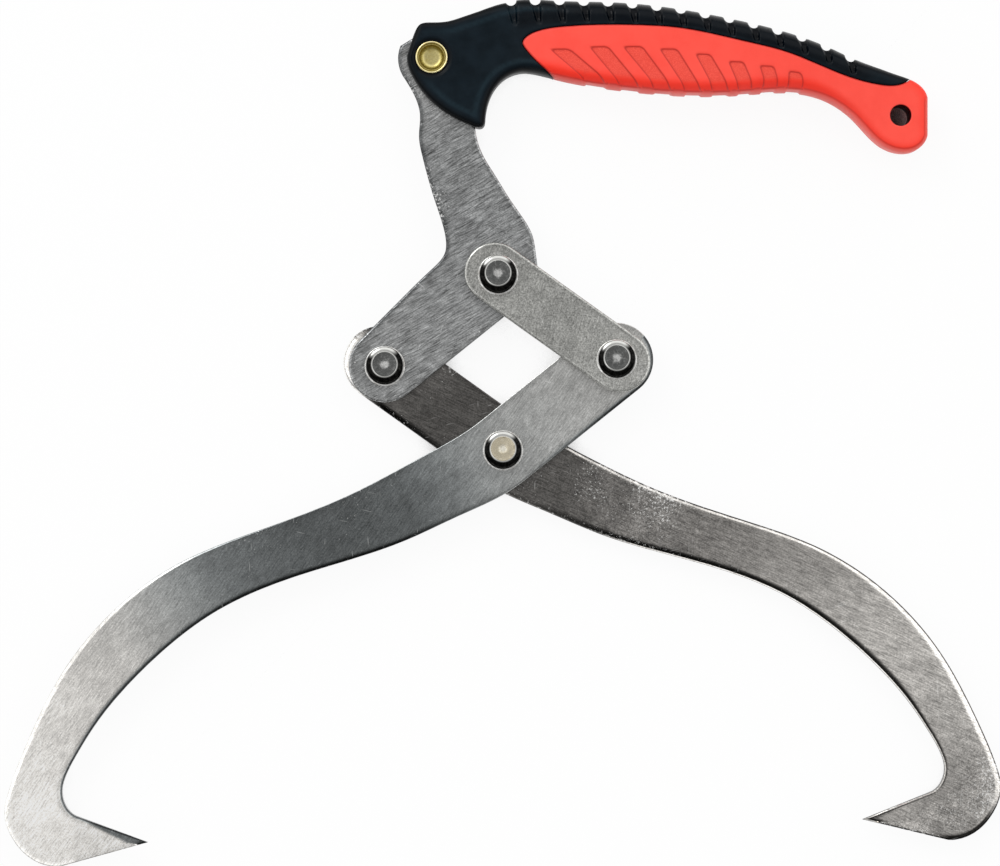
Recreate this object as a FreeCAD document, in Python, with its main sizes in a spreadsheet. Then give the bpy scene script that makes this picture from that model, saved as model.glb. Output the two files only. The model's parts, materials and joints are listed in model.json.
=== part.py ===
"""Log lifting tongs: four riveted steel plates on a two-colour pistol handle.

The tongs lie flat, seen from the front along -Z: +X to the right, +Y towards the handle.
Every plate lies in one of three layers, counted from the front: link, lever and front jaw, rear jaw.
The four pivots are the corners of a rhombus, so the two jaws open by equal angles.
"""
import FreeCAD, Part
import Sketcher
import math
import os

# Driving sizes in millimetres, angles in degrees

SIZES = {
    # Linkage
    "pivot_spacing": 58.0,          # rivet centre to rivet centre, all four sides of the rhombus
    "rest_apex_angle": 105.8,       # angle between lever and link at the top rivet
    "linkage_lean_angle": 1.6,      # the linkage leans this far to the left of upright
    "plate_thickness": 4.0,
    "plate_edge_round": 0.6,
    "jaw_bar_width": 29.6,
    "front_jaw_reach": 203.2,       # centre rivet to the outside of the hook, sideways
    "front_jaw_drop": 161.2,        # centre rivet to the lowest point of the hook
    "rear_jaw_reach": 199.0,
    "rear_jaw_drop": 157.0,
    "rear_arm_turn_angle": 1.3,     # the rear arm hangs this much lower than the front one
    "hook_point_length": 30.0,      # stretch of the hook that is ground thin towards its point
    "hook_point_thickness": 1.2,
    "link_width": 24.0,
    "link_overhang": 1.7,           # the link's round ends are centred this far beyond its rivets
    "rear_jaw_overhang": 2.4,       # the rear jaw's round end is centred this far beyond its rivet
    "lever_foot_eye": 14.4,         # radius of the lever's round foot
    "lever_shoulder_radius": 15.6,  # radius of the bulge round the top rivet
    "hub_rise": 86.7,               # hub centre above the top rivet
    "hub_offset": 26.5,             # hub centre to the left of the top rivet
    "hub_eye": 13.5,
    "tang_width": 12.0,
    "tang_length": 78.0,            # hub centre to the end of the tang
    "tang_lift": 1.4,               # tang centre line above the hub centre
    # Rivets and washers
    "shank_radius": 4.0,
    "running_clearance": 0.05,
    "open_pivot_clearance": 0.1,
    "head_radius": 7.4,
    "head_flat_radius": 5.2,
    "head_height": 4.5,
    "head_band": 1.0,               # straight band at the foot of the head
    "head_dimple_radius": 1.8,
    "head_dimple_depth": 0.4,
    "tail_radius": 6.6,
    "tail_flat_radius": 4.6,
    "tail_height": 4.0,
    "tail_band": 0.8,
    "washer_radius": 8.1,
    "washer_thickness": 1.0,
    "washer_clearance": 0.05,
    "spacer_radius": 9.0,
    "spacer_thickness": 0.5,
    # Handle
    "handle_length": 197.8,         # hub centre to the end of the tail
    "handle_depth": 35.0,
    "handle_width": 24.0,
    "cheek_width": 15.0,            # across both cheeks of the nose
    "seam_gap": 0.25,
    "slot_clearance": 0.15,
    "notch_radius": 2.2,
    "notch_depth": 2.0,
    "notch_pitch": 9.66,
    "first_notch": 31.6,            # hub centre to the first notch
    "window_depth": 0.5,
    "window_width": 5.8,
    "hang_hole_radius": 4.2,
    "hang_hole_forward": 11.1,      # hang hole centre in front of the tail end
    "hang_hole_below": 23.2,        # hang hole centre below the hub centre
    # Brass rivet through the nose
    "brass_flange_radius": 6.4,
    "brass_flange_height": 0.6,
    "brass_barrel_radius": 5.0,
    "brass_cup_mouth": 5.4,
    "brass_cup_radius": 4.1,
    "brass_cup_taper": 1.0,
    "brass_cup_depth": 3.4,
    "brass_stem_radius": 3.2,
    "brass_stem_length": 6.5,
    "brass_clearance": 0.05,
    "brass_recess_radius": 7.3,
    "brass_recess_depth": 0.4,
    "cut_overrun": 2.0,
}

WINDOW_COUNT = 8
SECTION_POINT_COUNT = 12

# Jaw arm, as shares of the jaw's reach (outwards) and drop (downwards) from the centre rivet

ARM_OUTER_SHARES = [
    (0.156, 0.008), (0.305, 0.100), (0.472, 0.176), (0.646, 0.259), (0.768, 0.363),
    (0.878, 0.519), (0.953, 0.695), (0.992, 0.816), (1.000, 0.866), (0.984, 0.931),
    (0.945, 0.983), (0.893, 1.000),
]
HOOK_TIP_SHARE = (0.720, 0.947)
ARM_INNER_SHARES = [
    (0.862, 0.876), (0.880, 0.851), (0.886, 0.813), (0.876, 0.771), (0.857, 0.728),
    (0.810, 0.640), (0.749, 0.553), (0.674, 0.467), (0.576, 0.381), (0.412, 0.297),
    (0.194, 0.215), (0.094, 0.161), (-0.001, 0.108),
]

# Lever edges, as shares of the hub's rise over the top rivet, from the top rivet

LEVER_LEFT_SHARES = [
    (-0.3835, 0.8245), (-0.3600, 0.7400), (-0.3650, 0.6400), (-0.3520, 0.5600),
    (-0.2866, 0.3287), (-0.2440, 0.1850), (-0.2450, 0.1050), (-0.3040, 0.0310),
    (-0.3950, -0.0558),
]
LEVER_RIGHT_SHARES = [
    (-0.1040, 0.7850), (-0.1090, 0.7300), (-0.1055, 0.6760), (-0.0744, 0.5640),
    (-0.0167, 0.4670), (0.0582, 0.3460), (0.1263, 0.2480), (0.1600, 0.1800),
    (0.1740, 0.1000),
]
HUB_ARC_START_ANGLE = 158.0     # where the bare steel of the hub leaves the eye's circle, above
HUB_ARC_END_ANGLE = 214.0       # and below
HUB_CROWN_SHARE = (-0.30, 0.76) # corner of the steel above the hub, as shares of its eye
TANG_ROOT_SHARES = (0.38, 0.19) # starts of the tang's lower and upper edge, of its length
SHOULDER_ANGLE = -14.0          # direction of the shoulder's bulge from the top rivet
WEB_BULGE_SHARE = 0.12          # depth of the hollow under the tang, as a share of its width

# Grip cross sections: place along the handle as a share of its length, top and bottom as
# shares of its depth from the hub centre, half width as a share of its width

GRIP_SECTION_SHARES = [
    (0.159, 0.646, -0.194, 0.317), (0.245, 0.654, -0.234, 0.400), (0.371, 0.629, -0.360, 0.483),
    (0.497, 0.554, -0.426, 0.500), (0.624, 0.417, -0.420, 0.500), (0.740, 0.246, -0.400, 0.483),
    (0.801, 0.114, -0.497, 0.454), (0.851, -0.017, -0.697, 0.417), (0.902, -0.123, -0.989, 0.379),
    (0.942, -0.203, -1.083, 0.354), (0.975, -0.280, -1.060, 0.333), (0.993, -0.371, -0.977, 0.292),
    (1.000, -0.460, -0.889, 0.233),
]

SECTION_CORNER_SHARE = 0.667    # roundness of a section: 1 is an ellipse, towards 0 a rectangle
SPINE_END_SHARE = 0.85          # end of the notched spine, of the handle's length

# Edge of the red grip on the side of the handle: shares of its length and of its depth

GRIP_EDGE_SHARES = [
    (0.2113, -0.046), (0.1900, 0.090), (0.1835, 0.165), (0.1925, 0.235), (0.2113, 0.289),
    (0.2680, 0.343), (0.3362, 0.360), (0.4211, 0.354), (0.4894, 0.329), (0.5632, 0.257),
    (0.6370, 0.160), (0.7048, 0.066), (0.7786, -0.094), (0.8413, -0.234), (0.8979, -0.314),
    (0.9434, -0.314), (0.9630, -0.257),
]
GRIP_EDGE_START_SHARE = (0.2650, -0.460)
GRIP_EDGE_END_SHARE = (0.9800, -0.060)

# Nose outline from the hub centre: shares of the handle's length and of its depth

NOSE_TOP_SHARES = [
    (0.1860, 0.657), (0.1496, 0.629), (0.1294, 0.600), (0.0961, 0.531), (0.0627, 0.466),
    (0.0288, 0.411), (0.0000, 0.402), (-0.0263, 0.400),
]
NOSE_FRONT_SHARES = [(-0.0263, 0.400), (-0.0400, 0.200), (-0.0495, 0.029)]
NOSE_LOWER_SHARES = [
    (-0.0495, 0.029), (-0.0475, -0.095), (-0.0365, -0.235), (-0.0080, -0.452),
    (0.0222, -0.600), (0.0693, -0.745), (0.0890, -0.790),
]
NOSE_TIP_SHARES = [(0.0890, -0.790), (0.1030, -0.786), (0.1080, -0.715)]
NOSE_REAR_SHARES = [
    (0.1080, -0.715), (0.1127, -0.537), (0.1264, -0.360), (0.1431, -0.254), (0.1633, -0.189),
    (0.1866, -0.163), (0.2169, -0.185),
]

# Windows on the grip's sides: place of the top, as shares of the handle's length and depth

WINDOW_TOP_SHARES = [
    (0.260, 0.129), (0.334, 0.143), (0.402, 0.137), (0.473, 0.103),
    (0.544, 0.054), (0.609, -0.026), (0.671, -0.074), (0.728, -0.146),
]
FIRST_WINDOW_ANGLE = 48.0
LAST_WINDOW_ANGLE = 78.0

document = FreeCAD.newDocument("log_lifting_tongs")
sheet = document.addObject("Spreadsheet::Sheet", "Sizes")
for row, (name, value) in enumerate(SIZES.items(), start=1):
    sheet.set("A%d" % row, name)
    sheet.set("B%d" % row, str(value))
    sheet.setAlias("B%d" % row, name)
document.recompute()


def size(name):
    """One driving size, read from the sheet."""
    return float(sheet.get(name))


def vector(x, y, z=0.0):
    return FreeCAD.Vector(x, y, z)


def polar(radius, angle):
    """Flat vector of a given length and direction in degrees."""
    return vector(radius * math.cos(math.radians(angle)), radius * math.sin(math.radians(angle)))


FRONT = vector(0, 0, 1)

# Places of the pivots and the hub, from the centre rivet

half_apex = size("rest_apex_angle") / 2
up_angle = 90 + size("linkage_lean_angle")
centre_pivot = vector(0, 0)
left_pivot = polar(size("pivot_spacing"), up_angle + half_apex)
right_pivot = polar(size("pivot_spacing"), up_angle - half_apex)
top_pivot = left_pivot + right_pivot
hub = top_pivot + vector(-size("hub_offset"), size("hub_rise"))

# Heights of the layers

half_plate = size("plate_thickness") / 2
layer_step = size("plate_thickness") + size("spacer_thickness")
LINK_LAYER = layer_step
MIDDLE_LAYER = 0.0
REAR_LAYER = -layer_step


# Sketch and body helpers

def origin_plane(body, role):
    return [feature for feature in body.Origin.OriginFeatures if feature.Role == role][0]


def add_sketch(body, name, role="XY_Plane"):
    sketch = body.newObject("Sketcher::SketchObject", name)
    sketch.AttachmentSupport = (origin_plane(body, role), [""])
    sketch.MapMode = "FlatFace"
    return sketch


def close_outline(sketch, curves):
    """Put the curves in the sketch and join each one's end to the next one's start."""
    ids = [sketch.addGeometry(curve, False) for curve in curves]
    for here, following in zip(ids, ids[1:] + ids[:1]):
        pairs = [(a, b) for a in (1, 2) for b in (1, 2)]
        nearest = min(pairs, key=lambda pair: sketch.getPoint(here, pair[0]).distanceToPoint(
            sketch.getPoint(following, pair[1])))
        sketch.addConstraint(Sketcher.Constraint("Coincident", here, nearest[0], following, nearest[1]))


def bind_circle(sketch, centre, radius_expression, start_radius):
    """A circle at a fixed place whose radius follows the sheet."""
    circle = sketch.addGeometry(Part.Circle(centre, FRONT, start_radius), False)
    sketch.addConstraint(Sketcher.Constraint("Block", circle))
    radius_id = sketch.addConstraint(Sketcher.Constraint("Radius", circle, start_radius))
    sketch.setExpression("Constraints[%d]" % radius_id, radius_expression)


def line(a, b):
    return Part.LineSegment(a, b)


def arc(a, middle, b):
    return Part.Arc(a, middle, b)


def spline(points, start=None, end=None):
    """A smooth curve through the points, leaving along start and arriving along end if given."""
    curve = Part.BSplineCurve()
    if start is None and end is None:
        curve.interpolate(points)
    else:
        still = vector(0, 0)
        tangents = [start or still] + [still] * (len(points) - 2) + [end or still]
        flags = [start is not None] + [False] * (len(points) - 2) + [end is not None]
        curve.interpolate(Points=points, Tangents=tangents, TangentFlags=flags, Scale=False)
    return curve


def plate(name, curves, layer, holes):
    """A flat steel plate: padded outline, drilled for its rivets."""
    body = document.addObject("PartDesign::Body", name)
    body.Label = name
    outline = add_sketch(body, name + "_outline")
    close_outline(outline, curves)
    pad = body.newObject("PartDesign::Pad", name + "_pad")
    pad.Profile = outline
    pad.SideType = "Symmetric"
    pad.setExpression("Length", "Sizes.plate_thickness")
    document.recompute()
    rounded = body.newObject("PartDesign::Fillet", name + "_rounded")
    rims = ["Edge%d" % number for number, edge in enumerate(pad.Shape.Edges, start=1)
            if edge.BoundBox.ZLength < half_plate]
    rounded.Base = (pad, rims)
    rounded.setExpression("Radius", "Sizes.plate_edge_round")
    body.Tip = rounded
    document.recompute()
    solid_volume = rounded.Shape.Volume
    assert solid_volume < pad.Shape.Volume, name + " has no rounded rim"
    drill = add_sketch(body, name + "_holes")
    for centre, radius_name, clearance_name in holes:
        radius = size(radius_name) + size(clearance_name)
        bind_circle(drill, centre, "Sizes.%s + Sizes.%s" % (radius_name, clearance_name), radius)
    pocket = body.newObject("PartDesign::Pocket", name + "_drill")
    pocket.Profile = drill
    pocket.Type = "ThroughAll"
    pocket.SideType = "Symmetric"
    body.Tip = pocket
    document.recompute()
    assert pocket.Shape.Volume < solid_volume, name + " is not drilled"
    body.Placement = FreeCAD.Placement(vector(0, 0, layer), FreeCAD.Rotation())
    return body


# Steel plates

def jaw_frame(hand):
    """Outward and downward directions of an arm; hand is -1 for the left hook, 1 for the right."""
    outward = polar(hand, size("linkage_lean_angle"))
    downward = polar(-1, up_angle)
    return outward, downward


def jaw_point(share, hand, reach, drop, turn):
    """A point of the arm, from its shares of reach and drop, turned about the centre rivet."""
    outward, downward = jaw_frame(hand)
    u = share[0] * reach
    v = share[1] * drop
    c = math.cos(math.radians(turn))
    s = math.sin(math.radians(turn))
    return outward * (u * c - v * s) + downward * (u * s + v * c)


def jaw_curves(hand, upper_pivot, reach, drop, turn, overhang):
    along = (centre_pivot - upper_pivot).normalize()
    outer_side = vector(-along.y, along.x) * hand
    half = size("jaw_bar_width") / 2
    end = upper_pivot - along * overhang

    def place(share):
        return jaw_point(share, hand, reach, drop, turn)

    bar_outer_start = end + outer_side * half
    bar_outer_end = centre_pivot + outer_side * half
    bar_inner_start = centre_pivot - outer_side * half
    bar_inner_end = end - outer_side * half
    outer = [bar_outer_end] + [place(share) for share in ARM_OUTER_SHARES]
    inner = [place(share) for share in ARM_INNER_SHARES] + [bar_inner_start]
    tip = place(HOOK_TIP_SHARE)
    return [
        line(bar_outer_start, bar_outer_end),
        spline(outer, start=along),
        line(outer[-1], tip),
        line(tip, inner[0]),
        spline(inner, end=along * -1),
        line(bar_inner_start, bar_inner_end),
        arc(bar_inner_end, end - along * half, bar_outer_start),
    ]


def jaw(name, hand, upper_pivot, reach, drop, turn, layer, holes, overhang=0.0):
    """A jaw plate whose hook is ground from both faces to a thin point."""
    curves = jaw_curves(hand, upper_pivot, reach, drop, turn, overhang)
    body = plate(name, curves, layer, holes)
    drilled = body.Tip
    tip = jaw_point(HOOK_TIP_SHARE, hand, reach, drop, turn)
    heel = jaw_point(ARM_OUTER_SHARES[-1], hand, reach, drop, turn)
    notch = jaw_point(ARM_INNER_SHARES[0], hand, reach, drop, turn)
    inward = (tip - heel).normalize()
    start = tip - inward * size("hook_point_length")
    overrun = size("cut_overrun")
    slope = (half_plate - size("hook_point_thickness") / 2) / size("hook_point_length")
    run = tip.x - start.x - hand * overrun
    depth = slope * abs(run / inward.x)
    grind = add_sketch(body, name + "_grind", "XZ_Plane")
    grind.AttachmentOffset = FreeCAD.Placement(vector(0, 0, overrun - heel.y), FreeCAD.Rotation())
    for side in (1, -1):
        near = vector(start.x, side * half_plate)
        far = vector(start.x + run, side * (half_plate - depth))
        corner = vector(start.x + run, side * (half_plate + overrun))
        back = vector(start.x, side * (half_plate + overrun))
        close_outline(grind, [line(near, far), line(far, corner), line(corner, back), line(back, near)])
    cut = body.newObject("PartDesign::Pocket", name + "_point")
    cut.Profile = grind
    cut.Type = "Length"
    cut.Length = notch.y - heel.y + overrun * 2
    body.Tip = cut
    document.recompute()
    assert cut.Shape.Volume < drilled.Shape.Volume, name + " has no ground point"
    return body


def lever_point(share):
    return top_pivot + vector(share[0] * size("hub_rise"), share[1] * size("hub_rise"))


def tang_levels():
    """Heights of the tang's lower and upper edges."""
    middle = hub.y + size("tang_lift")
    return middle - size("tang_width") / 2, middle + size("tang_width") / 2


def lever_curves():
    down = (left_pivot - top_pivot).normalize()
    inner_side = vector(-down.y, down.x)
    foot = size("lever_foot_eye")
    left = [lever_point(share) for share in LEVER_LEFT_SHARES]
    right = [lever_point(share) for share in LEVER_RIGHT_SHARES]
    hub_low = hub + polar(size("hub_eye"), HUB_ARC_END_ANGLE)
    hub_mid = hub + polar(size("hub_eye"), (HUB_ARC_START_ANGLE + HUB_ARC_END_ANGLE) / 2)
    hub_high = hub + polar(size("hub_eye"), HUB_ARC_START_ANGLE)
    crown = hub + vector(HUB_CROWN_SHARE[0], HUB_CROWN_SHARE[1]) * size("hub_eye")
    reach = left_pivot - left[-1]
    swing = math.degrees(math.acos(foot / reach.Length))
    back = math.degrees(math.atan2(-reach.y, -reach.x))
    foot_outer = left_pivot + polar(foot, back + swing)
    foot_inner = left_pivot + inner_side * foot
    foot_bottom = left_pivot + down * foot
    arm_inner_top = top_pivot + inner_side * foot
    shoulder = top_pivot + polar(size("lever_shoulder_radius"), SHOULDER_ANGLE)
    low, high = tang_levels()
    tang_end = hub.x + size("tang_length")
    tang_nose = tang_end - size("tang_width") / 2
    tang_root = vector(hub.x + TANG_ROOT_SHARES[0] * size("tang_length"), low)
    tang_top_root = vector(hub.x + TANG_ROOT_SHARES[1] * size("tang_length"), high)
    web = (right[0] + tang_root) / 2 + vector(-1, 1) * (size("tang_width") * WEB_BULGE_SHARE)
    return [
        arc(hub_high, hub_mid, hub_low),
        spline([hub_low] + left, start=polar(1, HUB_ARC_END_ANGLE + 90),
               end=(foot_outer - left[-1]).normalize()),
        line(left[-1], foot_outer),
        arc(foot_outer, foot_bottom, foot_inner),
        line(foot_inner, arm_inner_top),
        spline([arm_inner_top, shoulder] + right[::-1] + [web, tang_root], start=down * -1, end=vector(1, 0)),
        line(tang_root, vector(tang_nose, low)),
        arc(vector(tang_nose, low), vector(tang_end, (low + high) / 2), vector(tang_nose, high)),
        line(vector(tang_nose, high), tang_top_root),
        line(tang_top_root, crown),
        line(crown, hub_high),
    ]


def link_curves():
    along = (right_pivot - top_pivot).normalize()
    side = vector(-along.y, along.x)
    half = size("link_width") / 2
    upper = top_pivot - along * size("link_overhang")
    lower = right_pivot + along * size("link_overhang")
    return [
        arc(upper - side * half, upper - along * half, upper + side * half),
        line(upper + side * half, lower + side * half),
        arc(lower + side * half, lower + along * half, lower - side * half),
        line(lower - side * half, upper - side * half),
    ]


LOOSE = ("shank_radius", "running_clearance")
OPEN = ("shank_radius", "open_pivot_clearance")
HUB_FIT = ("brass_barrel_radius", "brass_clearance")

front_jaw = jaw("front_jaw", -1, right_pivot, size("front_jaw_reach"), size("front_jaw_drop"), 0.0,
                MIDDLE_LAYER, [(centre_pivot,) + LOOSE, (right_pivot,) + OPEN])
rear_jaw = jaw("rear_jaw", 1, left_pivot, size("rear_jaw_reach"), size("rear_jaw_drop"),
               size("rear_arm_turn_angle"), REAR_LAYER, [(centre_pivot,) + LOOSE, (left_pivot,) + LOOSE],
               size("rear_jaw_overhang"))
connecting_link = plate("connecting_link", link_curves(), LINK_LAYER,
                        [(top_pivot,) + LOOSE, (right_pivot,) + LOOSE])
handle_lever = plate("handle_lever", lever_curves(), MIDDLE_LAYER,
                     [(top_pivot,) + LOOSE, (left_pivot,) + LOOSE, (hub,) + HUB_FIT])


# Rivets, washers and spacers

def value(expression):
    """The number that an expression over the sheet has now."""
    return float(sheet.evalExpression(expression.replace("Sizes.", "")))


def bound_profile(sketch, corners):
    """A closed outline whose corners follow the sheet: each is x, y and the radius of the edge after it."""
    places = [vector(value(x), value(y)) for x, y, _ in corners]
    curves = []
    for (a, b), (_, _, rounding) in zip(zip(places, places[1:] + places[:1]), corners):
        if rounding:
            radius = value(rounding)
            half_chord = (b - a) / 2
            outwards = vector(half_chord.y, -half_chord.x).normalize()
            rise = radius - math.sqrt(radius ** 2 - half_chord.Length ** 2)
            curves.append(arc(a, a + half_chord + outwards * rise, b))
        else:
            curves.append(line(a, b))
    close_outline(sketch, curves)
    for number, (x, y, rounding) in enumerate(corners):
        near_end = min((1, 2), key=lambda end: sketch.getPoint(number, end).distanceToPoint(places[number]))
        if x == "0":
            sketch.addConstraint(Sketcher.Constraint("PointOnObject", number, near_end, -2))
        else:
            across = sketch.addConstraint(
                Sketcher.Constraint("DistanceX", -1, 1, number, near_end, places[number].x))
            sketch.setExpression("Constraints[%d]" % across, x)
        height = sketch.addConstraint(
            Sketcher.Constraint("DistanceY", -1, 1, number, near_end, places[number].y))
        sketch.setExpression("Constraints[%d]" % height, y)
        if rounding:
            radius_id = sketch.addConstraint(Sketcher.Constraint("Radius", number, value(rounding)))
            sketch.setExpression("Constraints[%d]" % radius_id, rounding)


def turned(name, corners, place):
    """A turned piece: its half section revolved about an upright axis."""
    body = document.addObject("PartDesign::Body", name)
    body.Label = name
    section = add_sketch(body, name + "_section", "XZ_Plane")
    bound_profile(section, corners)
    revolution = body.newObject("PartDesign::Revolution", name + "_revolution")
    revolution.Profile = section
    revolution.ReferenceAxis = (section, ["V_Axis"])
    revolution.Angle = 360
    body.Tip = revolution
    body.Placement = FreeCAD.Placement(place, FreeCAD.Rotation())
    return body


FRONT_PAIR = {
    "top": "(Sizes.plate_thickness * 1.5 + Sizes.spacer_thickness + Sizes.washer_thickness)",
    "bottom": "(0 - Sizes.plate_thickness * 0.5 - Sizes.washer_thickness)",
}
REAR_PAIR = {
    "top": "(Sizes.plate_thickness * 0.5 + Sizes.washer_thickness)",
    "bottom": "(0 - Sizes.plate_thickness * 1.5 - Sizes.spacer_thickness - Sizes.washer_thickness)",
}
PIVOTS = {
    "top": (top_pivot, FRONT_PAIR),
    "left": (left_pivot, REAR_PAIR),
    "centre": (centre_pivot, REAR_PAIR),
    "right": (right_pivot, FRONT_PAIR),
}


def rivet(name, place, pair):
    top = pair["top"]
    bottom = pair["bottom"]
    corners = [
        ("0", bottom + " - Sizes.tail_height", None),
        ("Sizes.tail_flat_radius", bottom + " - Sizes.tail_height", "Sizes.tail_height"),
        ("Sizes.tail_radius", bottom + " - Sizes.tail_band", None),
        ("Sizes.tail_radius", bottom, None),
        ("Sizes.shank_radius", bottom, None),
        ("Sizes.shank_radius", top, None),
        ("Sizes.head_radius", top, None),
        ("Sizes.head_radius", top + " + Sizes.head_band", "Sizes.head_height"),
        ("Sizes.head_flat_radius", top + " + Sizes.head_height", None),
        ("Sizes.head_dimple_radius", top + " + Sizes.head_height", None),
        ("0", top + " + Sizes.head_height - Sizes.head_dimple_depth", None),
    ]
    return turned(name, corners, place)


def ring(name, outer, clearance, thickness, place):
    """A flat washer round a rivet's shank."""
    body = document.addObject("PartDesign::Body", name)
    body.Label = name
    face = add_sketch(body, name + "_face")
    bore = "Sizes.shank_radius + Sizes." + clearance
    bind_circle(face, centre_pivot, "Sizes." + outer, size(outer))
    bind_circle(face, centre_pivot, bore, value(bore))
    pad = body.newObject("PartDesign::Pad", name + "_pad")
    pad.Profile = face
    pad.setExpression("Length", "Sizes." + thickness)
    body.Tip = pad
    body.Placement = FreeCAD.Placement(place, FreeCAD.Rotation())
    return body


fasteners = []
for pivot, (place, pair) in PIVOTS.items():
    head_face = value(pair["top"]) - size("washer_thickness")
    tail_face = value(pair["bottom"])
    gap_face = half_plate if pair is FRONT_PAIR else -half_plate - size("spacer_thickness")
    fasteners.append(rivet(pivot + "_rivet", place, pair))
    fasteners.append(ring(pivot + "_head_washer", "washer_radius", "washer_clearance",
                          "washer_thickness", place + FRONT * head_face))
    fasteners.append(ring(pivot + "_tail_washer", "washer_radius", "washer_clearance",
                          "washer_thickness", place + FRONT * tail_face))
    fasteners.append(ring(pivot + "_plate_spacer", "spacer_radius", "washer_clearance",
                          "spacer_thickness", place + FRONT * gap_face))

# Brass rivet through the nose: a cupped barrel from the front, closed by a cap from the rear

CHEEK = "Sizes.cheek_width / 2"
REAR_SEAT = "Sizes.brass_recess_depth - Sizes.cheek_width / 2"
CUP_MOUTH = CHEEK + " + Sizes.brass_flange_height"
STEM_ROOM = "Sizes.brass_stem_radius + Sizes.brass_clearance"
STEM_END = REAR_SEAT + " + Sizes.brass_stem_length"
brass_barrel = turned("brass_barrel", [
    ("0", CUP_MOUTH + " - Sizes.brass_cup_depth", None),
    ("Sizes.brass_cup_radius", CUP_MOUTH + " - Sizes.brass_cup_depth", None),
    ("Sizes.brass_cup_radius", CUP_MOUTH + " - Sizes.brass_cup_taper", None),
    ("Sizes.brass_cup_mouth", CUP_MOUTH, None),
    ("Sizes.brass_flange_radius", CUP_MOUTH, None),
    ("Sizes.brass_flange_radius", CHEEK + " - Sizes.brass_recess_depth", None),
    ("Sizes.brass_barrel_radius", CHEEK + " - Sizes.brass_recess_depth", None),
    ("Sizes.brass_barrel_radius", REAR_SEAT, None),
    (STEM_ROOM, REAR_SEAT, None),
    (STEM_ROOM, STEM_END + " + Sizes.brass_clearance", None),
    ("0", STEM_END + " + Sizes.brass_clearance", None),
], hub)
brass_cap = turned("brass_cap", [
    ("0", "0 - " + CHEEK + " - Sizes.brass_flange_height", None),
    ("Sizes.brass_flange_radius", "0 - " + CHEEK + " - Sizes.brass_flange_height", None),
    ("Sizes.brass_flange_radius", REAR_SEAT, None),
    ("Sizes.brass_stem_radius", REAR_SEAT, None),
    ("Sizes.brass_stem_radius", STEM_END, None),
    ("0", STEM_END, None),
], hub)


# Handle

def handle_point(share):
    """A point on the side of the handle, from its shares of the length and the depth."""
    return hub + vector(share[0] * size("handle_length"), share[1] * size("handle_depth"))


def section_wire(share):
    """A rounded cross section of the grip."""
    along, top, bottom, half_width = share
    low = handle_point((along, bottom)).y
    high = handle_point((along, top)).y
    half_depth = (high - low) / 2
    half = half_width * size("handle_width")
    points = []
    for number in range(SECTION_POINT_COUNT):
        angle = 2 * math.pi * number / SECTION_POINT_COUNT
        c = math.cos(angle)
        s = math.sin(angle)
        up = math.copysign(abs(c) ** SECTION_CORNER_SHARE, c)
        side = math.copysign(abs(s) ** SECTION_CORNER_SHARE, s)
        points.append(vector(handle_point((along, 0)).x, (low + high) / 2 + half_depth * up, half * side))
    curve = Part.BSplineCurve()
    curve.interpolate(Points=points, PeriodicFlag=True)
    return Part.Wire([curve.toShape()])


def grip_loft():
    """The whole rounded grip before it is parted into its two colours."""
    sections = []
    for number, share in enumerate(GRIP_SECTION_SHARES):
        section = document.addObject("Part::Feature", "grip_section_%d" % number)
        section.Shape = section_wire(share)
        sections.append(section)
    loft = document.addObject("Part::Loft", "grip_blank")
    loft.Sections = sections
    loft.Solid = True
    return loft


def grip_section_at(distance):
    """Shares of the top, bottom and half width at a distance behind the hub, between the table's rows."""
    along = distance / size("handle_length")
    rows = list(zip(GRIP_SECTION_SHARES, GRIP_SECTION_SHARES[1:]))
    before, after = next((pair for pair in rows if along <= pair[1][0]), rows[-1])
    part_way = (along - before[0]) / (after[0] - before[0])
    return [low + (high - low) * part_way for low, high in zip(before[1:], after[1:])]


def flat_face(name, curves):
    face = document.addObject("Part::Feature", name)
    face.Shape = Part.Face(Part.Wire([curve.toShape() for curve in curves]))
    return face


def slab(name, face, thickness):
    """A face thickened evenly to both sides."""
    prism = document.addObject("Part::Extrusion", name)
    prism.Base = face
    prism.DirMode = "Custom"
    prism.Dir = FRONT
    prism.Symmetric = True
    prism.Solid = True
    prism.setExpression("LengthFwd", thickness)
    return prism


def one_sided_slab(name, face, direction):
    """A face thickened to one side only, by the width of the handle."""
    prism = document.addObject("Part::Extrusion", name)
    prism.Base = face
    prism.DirMode = "Custom"
    prism.Dir = direction
    prism.Solid = True
    prism.setExpression("LengthFwd", "Sizes.handle_width")
    return prism


def upright_cylinder(name, place, radius, height):
    """A cylinder across the handle, centred on its middle plane."""
    cylinder = document.addObject("Part::Cylinder", name)
    cylinder.setExpression("Radius", radius)
    cylinder.setExpression("Height", height)
    cylinder.Placement = FreeCAD.Placement(place - FRONT * (value(height) / 2), FreeCAD.Rotation())
    return cylinder


def cut(name, base, tool):
    difference = document.addObject("Part::Cut", name)
    difference.Base = base
    difference.Tool = tool
    return difference


def gather(name, members):
    together = document.addObject("Part::Compound", name)
    together.Links = members
    return together


WIDE = "Sizes.handle_width + Sizes.cut_overrun * 2"
blank = grip_loft()

region_bottom = handle_point((0, GRIP_SECTION_SHARES[-4][2])).y - size("handle_depth") / 2
region_end = handle_point((1, 0)).x + size("cut_overrun")


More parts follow.
